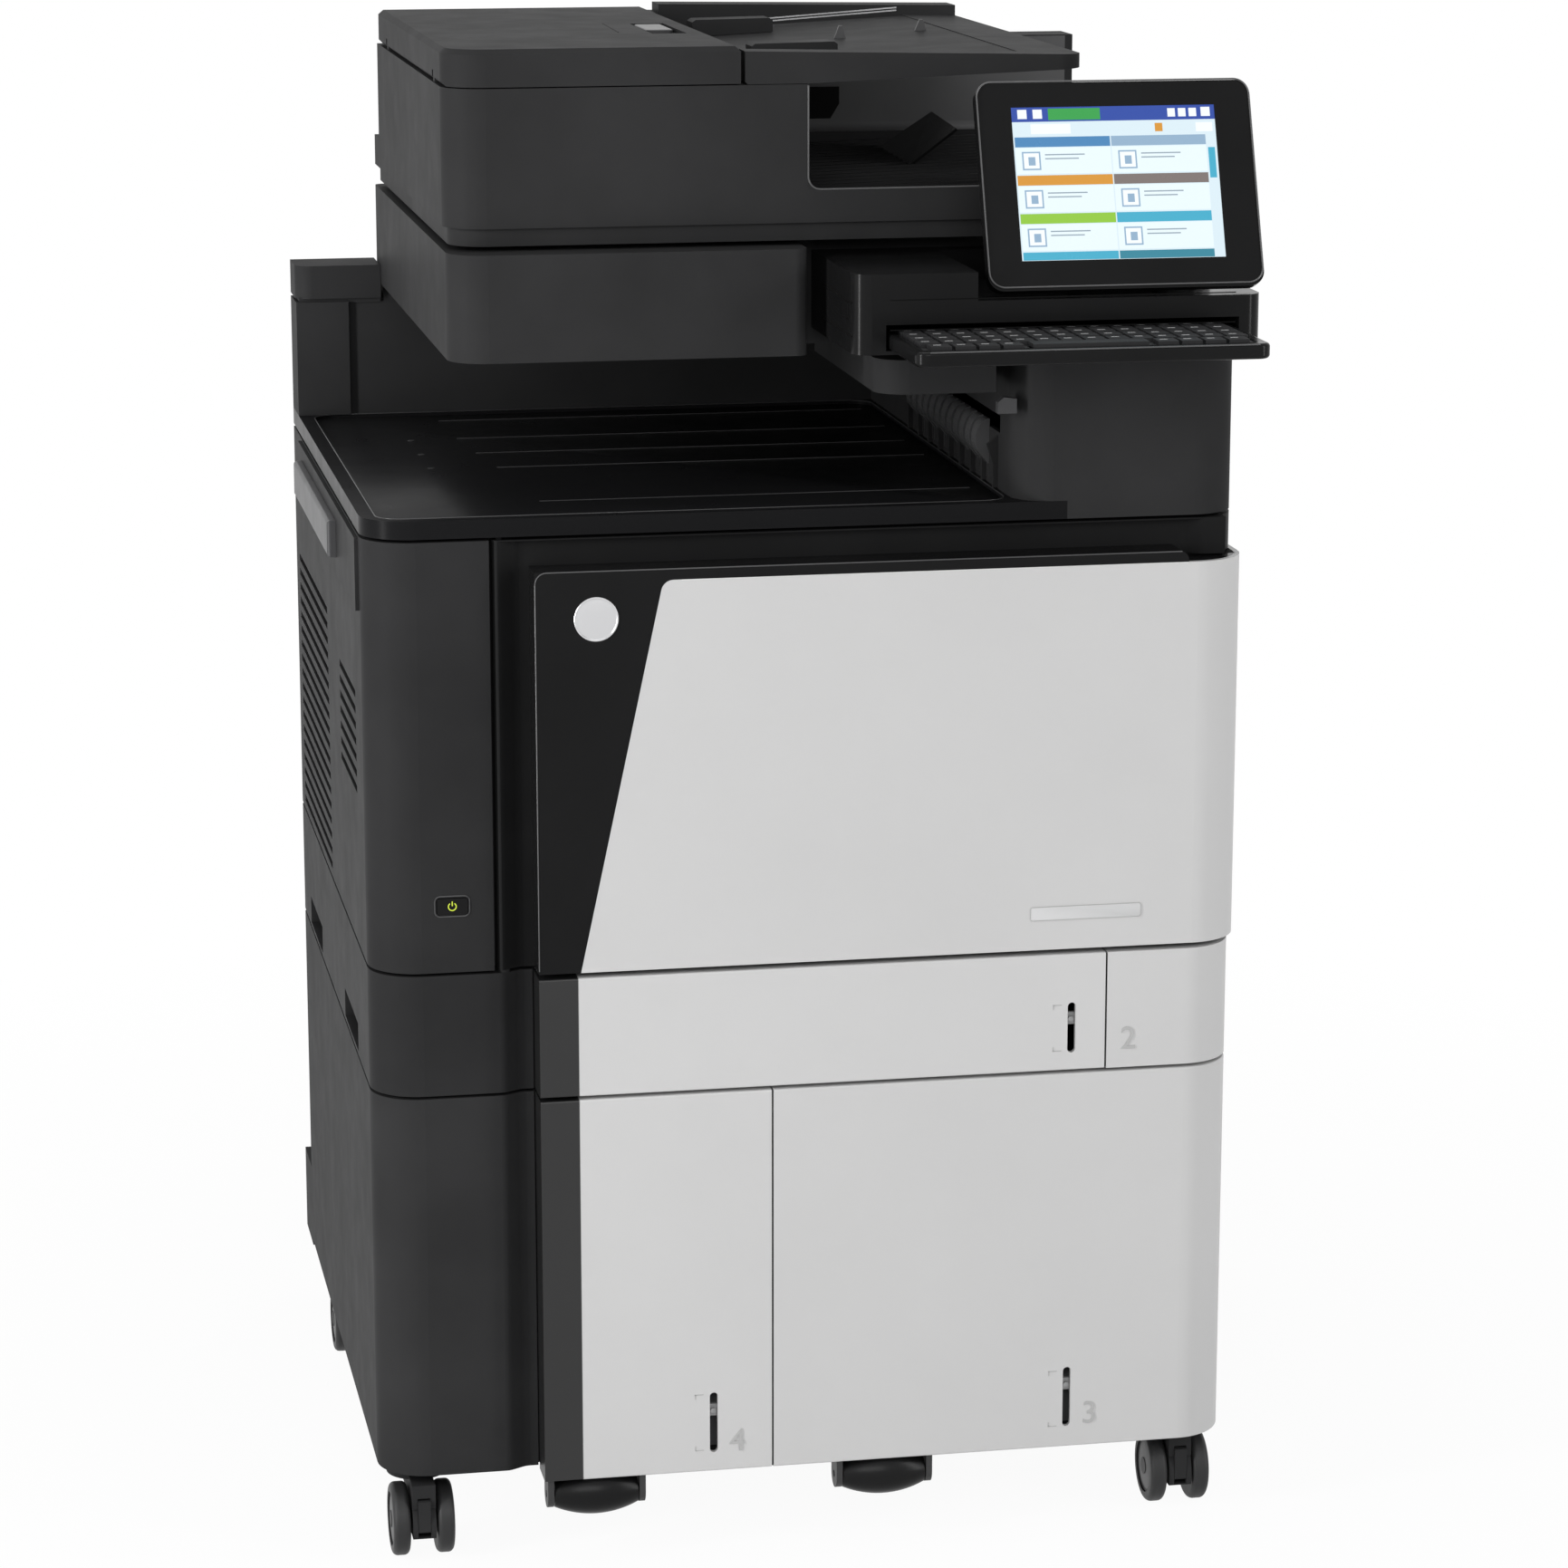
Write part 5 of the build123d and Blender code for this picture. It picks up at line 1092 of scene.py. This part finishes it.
@dataclass
class PanelDetail(Assembly):
    """Seams, painted highlight beads on edges, key marks and the hood lever of the control panel."""

    key_pitch: Pair = (18.5, 21.0)
    key_count: tuple[int, int] = (14, 4)
    side_keys: tuple[float, ...] = (3.25, 4.25, 5.25, 6.25)
    mark: Pair = (6.0, 2.4)
    mark_shift: Pair = (-4.4, 0.6)
    mark_relief: float = 0.00006
    rim: Triple = (0.218, 0.163, 0.012)
    rim_rise: float = 0.0607
    rim_proud: float = 0.0010
    rim_bead: float = 0.0007
    lip_bead: float = 0.0006
    lip_end: float = 10.0
    seam_relief: float = 0.00015
    seam_start: float = 0.028
    seam_levels: tuple[float, ...] = (0.0415, 0.0185)
    side_lines: tuple = ((-0.058, 0.013, 0.108, 0.0008), (-0.058, 0.039, 0.108, 0.0008),
                         (0.008, 0.025, 0.028, 0.0006), (0.008, 0.038, 0.028, 0.0006),
                         (0.008, 0.025, 0.0006, 0.0136), (0.0354, 0.025, 0.0006, 0.0136))
    side_origin: Triple = (0.0, 0.060, 0.0)
    lever: tuple = ((129, 65, -58), (144.2, 65, -58), (144.2, 65, -46.5), (134, 65, -45), (129, 65, -49))
    lever_depth: float = 0.008

    def seams(self) -> None:
        """Draws the parting lines of the panel's base and its port door."""
        low, high = box_of("panel_base")
        wide = float(high[0] - low[0])
        rects = [(self.seam_start, level, wide - 0.05, 0.0009) for level in self.seam_levels]
        self.keep(boxes("panel_front_seams", rects, Direction.FRONT.at(*low), self.seam_relief), SEAM_AND_SHADE, "cabinet")
        side = Direction.LEFT.at(*(low + self.side_origin))
        self.keep(boxes("panel_side_seams", self.side_lines, side, self.seam_relief), SEAM_AND_SHADE, "cabinet")
        self.keep(prism("hood_lever", off(low, *self.lever), (0.0, self.lever_depth, 0.0)), HANDLE,
                  "cabinet")

    def edges(self) -> None:
        """Sets the painted highlight beads along the display's rim and the keyboard's lip."""
        place, _, _ = Display().screen()
        outline, _ = rounded_outline(*self.rim, 10)
        low, high = box_of("display_housing")
        middle = float(low[0] + high[0]) / 2 - place.centre[0]
        path = rim_of(outline + (middle, self.rim_rise), self.rim_proud, place)
        # Painted highlight bead round the display's rim.
        self.keep(loop("display_edge", path, self.rim_bead, np.cross(place.right, place.up)), HIGHLIGHT_BEAD, "display")
        lip = corner_of("keyboard_tray", 0, 0, 1)
        wide = (box_of("keyboard_tray")[1][0] - lip[0]) * 1000
        path = off(lip, *((x, 0.4, -0.5) for x in (self.lip_end, wide / 2, wide - self.lip_end)))
        # Painted highlight bead along the keyboard's lip.
        self.keep(tube("keyboard_edge", path, self.lip_bead, 8), HIGHLIGHT_BEAD, "keyboard")

    def marks(self) -> None:
        """Lays one plain dash on every key."""
        low, high = box_of("keyboard_keys")
        middle = (low + high) / 2
        across, along = self.key_pitch
        columns = (np.arange(self.key_count[0]) - (self.key_count[0] - 1) / 2) * across
        rows = (np.arange(self.key_count[1]) - (self.key_count[1] - 1) / 2) * along + along / 2
        spots = [(x, y) for y in rows for x in columns]
        spots += [(sign * step * across, rows[0] - along) for sign in (-1, 1) for step in self.side_keys]
        size = np.broadcast_to(np.array(self.mark), (len(spots), 2))
        rects = np.concatenate((np.array(spots) + self.mark_shift, size), axis=1) / 1000
        place = Direction.UP.at(middle[0], middle[1], high[2])
        self.keep(boxes("key_marks", rects, place, self.mark_relief), LEGEND, "keyboard")

    def build(self) -> None:
        """Makes the three groups."""
        self.seams()
        self.edges()
        self.marks()


@dataclass
class ShelfDetail(Assembly):
    """The output shelf's smooth liner with its ribs, ejector marks and rim in a faint painted highlight, and the
    outlet's fingers in a painted highlight.
    """

    margin: float = 12.0
    reach: Pair = (502.0, 550.0)
    round: float = 20.0
    ribs: tuple = ((93, 150), (265, 138), (343, 130), (425, 124), (527, 120))
    dots: tuple = ((84, 272), (84, 345), (84, 422))
    recess: float = 5.0
    liner_depth: float = 1.8
    liner_profile: tuple = ((0, 0), (0, 0.0014), (0.0006, 0.0018))
    rib_width: float = 1.6
    rib_end: float = 500.0
    relief: float = 0.0005
    dot: Pair = (0.0032, 0.0003)
    fingers: int = 12
    finger_y: Pair = (98.0, 369.0)
    finger_width: float = 0.0155
    fine_pitch: float = 6.5
    fine_rib: Triple = (4.0, 0.9, 12.0)

    def build(self) -> None:
        """Makes the liner, its marks and the fingers."""
        corner = corner_of("output_shelf", 0, 0, 1)
        middle = off(corner, (self.margin + self.reach[0] / 2, self.margin + self.reach[1] / 2, -self.recess))[0]
        outline, normal = rounded_outline((self.reach[0] - 1) / 1000, (self.reach[1] - 1) / 1000,
                                          self.round / 1000, 10)
        place = Direction.UP.at(*middle)
        self.keep(raised("shelf_liner", outline, normal, self.liner_profile, place), SHELF_BLACK,
                  "cabinet")
        level = Direction.UP.at(*off(corner, (0, 0, self.liner_depth - self.recess))[0])
        # Painted faint highlight: the ribs, ejector dots and rim take a grey lighter than the liner, for the light
        # that their edges catch.
        rects = [(start, y, self.rib_end - start, self.rib_width) for y, start in self.ribs]
        self.keep(boxes("shelf_ribs", np.array(rects) / 1000, level, self.relief), DIM_HIGHLIGHT, "cabinet")
        self.keep(studs("shelf_dots", np.array(self.dots) / 1000, level, *self.dot), DIM_HIGHLIGHT, "cabinet")
        rim = rim_of(outline, self.recess / 1000, place)
        self.keep(loop("shelf_rim", rim, self.relief, (0.0, 0.0, 1.0)), DIM_HIGHLIGHT, "cabinet")
        self.outlet()

    def outlet(self) -> None:
        """Sets the curved fingers and fine ribs on the tower's left face, in lighter greys that paint their
        highlights.
        """
        wall = corner_of("rear_wall", 1, 0, 0)
        front = corner_of("exit_tower", 0, 0, 0)[1]
        start = np.array((wall[0], front, wall[2]))
        low, high = self.finger_y
        pitch = (high - low) / self.fingers
        bend = arc((0.0, 18.0), 1.0, 90, 200, 8) - (0.0, 18.0)
        profile = [(0.4, 0.0, 52.0), *((11.0 * x - 0.5, 0.0, 34.0 + 18.0 * z) for x, z in bend), (0.4, 0.0, 14.0)]
        # Painted highlight: each finger takes the lighter finger grey.
        for number in range(self.fingers):
            foot = start + (0.0, (low + number * pitch) / 1000, 0.0)
            self.keep(prism(f"outlet_finger_{number}", off(foot, *profile), (0.0, self.finger_width, 0.0)),
                      FINGER_HIGHLIGHT, "cabinet")
        foot, wide, tall = self.fine_rib
        # Painted faint highlight on the fine ribs.
        rects = [(-y, foot, wide, tall) for y in np.arange(low, high, self.fine_pitch)]
        self.keep(boxes("outlet_ribs", np.array(rects) / 1000, Direction.LEFT.at(*start), 0.0005), DIM_HIGHLIGHT,
                  "cabinet")


@dataclass
class BackDetail(Assembly):
    """Screws of the rear cover."""

    inset: float = 0.012
    cover_depth: float = 0.010
    columns: tuple[float, ...] = (-1, -0.33, 0.33, 1)
    head: Pair = (0.0042, 0.0014)

    def build(self) -> None:
        """Makes the screw heads along the cover's top and bottom edges."""
        low, high = box_of("rear_cover")
        middle = (low + high) / 2
        place = Direction.BACK.at(middle[0], high[1] - self.cover_depth, middle[2])
        half = (high - low)[[0, 2]] / 2 - self.inset
        spots = [(x * half[0], z * half[1]) for x in self.columns for z in (-1, 1)]
        self.keep(studs("rear_screws", np.array(spots), place, *self.head), BOLT, "cabinet")


@dataclass
class Studio(Assembly):
    """Floor, backdrop, lamps and camera."""

    eye: Triple = (-0.3494, -3.5748, 1.4827)
    yaw: float = 10.757
    pitch: float = 13.087
    lens: float = 108.19
    floor_reach: float = 60.0
    near: float = 0.5
    far: float = 1.7
    fill: float = 0.24
    lamps: tuple = (("strip_left", (-2.35, -1.05, 1.15), (-0.3, -0.1, 0.75), (0.3, 2.3), 62),
                    ("strip_right", (2.3, -1.9, 1.3), (0.3, -0.2, 0.7), (0.35, 2.2), 30),
                    ("front_soft", (-0.5, -4.2, 2.6), (0.0, -0.2, 0.7), (2.6, 1.8), 58),
                    ("top_soft", (0.0, 0.2, 3.4), (0, 0, 0.9), (2.4, 2.0), 30))

    def lamp(self, name: str, place: tuple, aim: tuple, size: Pair, power: float) -> None:
        """Adds a soft box.

        Args:
            name: the lamp's name.
            place: where it stands.
            aim: the point that it looks at.
            size: its width and height.
            power: its strength in watts.
        """
        data = bpy.data.lights.new(name, "AREA")
        data.shape = "RECTANGLE"
        data.size, data.size_y = size
        data.energy = power
        made = linked(name, data)
        made.location = place
        made.rotation_euler = (Vector(aim) - Vector(place)).to_track_quat("-Z", "Y").to_euler()

    def floor(self) -> None:
        """Lays a wide floor whose colour fades to white away from the object, where it keeps a soft shadow."""
        reach = self.floor_reach
        grid = np.array(((-reach, -reach, 0), (reach, -reach, 0), (reach, reach, 0), (-reach, reach, 0)), float)
        made = put("floor", grid, [[0, 1, 2, 3]], smooth=False)
        graph = Graph("floor_white")
        away = Value(graph, graph.node("VectorMath", {"operation": "LENGTH"}, {0: graph.place()}).outputs["Value"])
        white = away.ramp(self.near, self.far, 0.95, 1.0)
        diffuse = graph.node("BsdfDiffuse", inputs={"Color": (0.8, 0.8, 0.8, 1.0)})
        glow = graph.node("Emission", inputs={"Color": (1.0, 1.0, 1.0, 1.0), "Strength": 1.0})
        mixed = graph.node("MixShader", inputs={0: self.seen(graph) * white, 1: diffuse.outputs[0],
                                                2: glow.outputs[0]})
        graph.tree.links.new(mixed.outputs[0], graph.output.inputs[0])
        made.data.materials.append(graph.material)

    @staticmethod
    def seen(graph: "Graph") -> Value:
        """1 for rays of the camera and for those that gloss and glass send on, 0 for the light on the object."""
        ray = graph.node("LightPath")
        camera, glossy, through = (Value(graph, ray.outputs[name])
                                   for name in ("Is Camera Ray", "Is Glossy Ray", "Is Transmission Ray"))
        return camera.math("MAXIMUM", glossy).math("MAXIMUM", through)

    def world(self) -> bpy.types.World:
        """A white backdrop over a dim even fill."""
        world = bpy.data.worlds.new("studio")
        world.use_nodes = True
        tree = world.node_tree
        tree.nodes.clear()
        graph = Graph.__new__(Graph)
        graph.tree = tree
        out = tree.nodes.new("ShaderNodeOutputWorld")
        white = graph.node("Background", inputs={"Color": (1.0, 1.0, 1.0, 1.0), "Strength": 1.0})
        fill = graph.node("Background", inputs={"Color": (0.95, 0.97, 1.0, 1.0), "Strength": self.fill})
        join = graph.node("MixShader", inputs={0: self.seen(graph), 1: fill.outputs[0], 2: white.outputs[0]})
        tree.links.new(join.outputs[0], out.inputs[0])
        return world

    def build(self) -> None:
        """Sets the stage."""
        scene = bpy.context.scene
        scene.view_settings.view_transform = "Standard"
        self.floor()
        scene.world = self.world()
        for lamp in self.lamps:
            self.lamp(*lamp)
        low = box_of("stand_shell")[0]
        data = bpy.data.cameras.new("camera")
        data.lens = self.lens
        data.sensor_width = 36.0
        data.clip_end = 50
        camera = linked("camera", data)
        camera.location = (low[0] + self.eye[0], low[1] + self.eye[1], self.eye[2])
        camera.rotation_euler = (math.radians(90 - self.pitch), 0.0, math.radians(-self.yaw))
        scene.camera = camera


def main() -> None:
    """Builds and reports the assemblies in order."""
    logging.basicConfig(level=logging.INFO, format="%(message)s")
    for kind in (Studio, Paint, Badges, TrayMarks, Display, WheelCaps, FrontTrim, FrontGaps, FeederDetail, PanelDetail,
                 ShelfDetail, BackDetail):
        kind().run()
    bpy.context.view_layer.update()


if __name__ == "__main__":
    main()
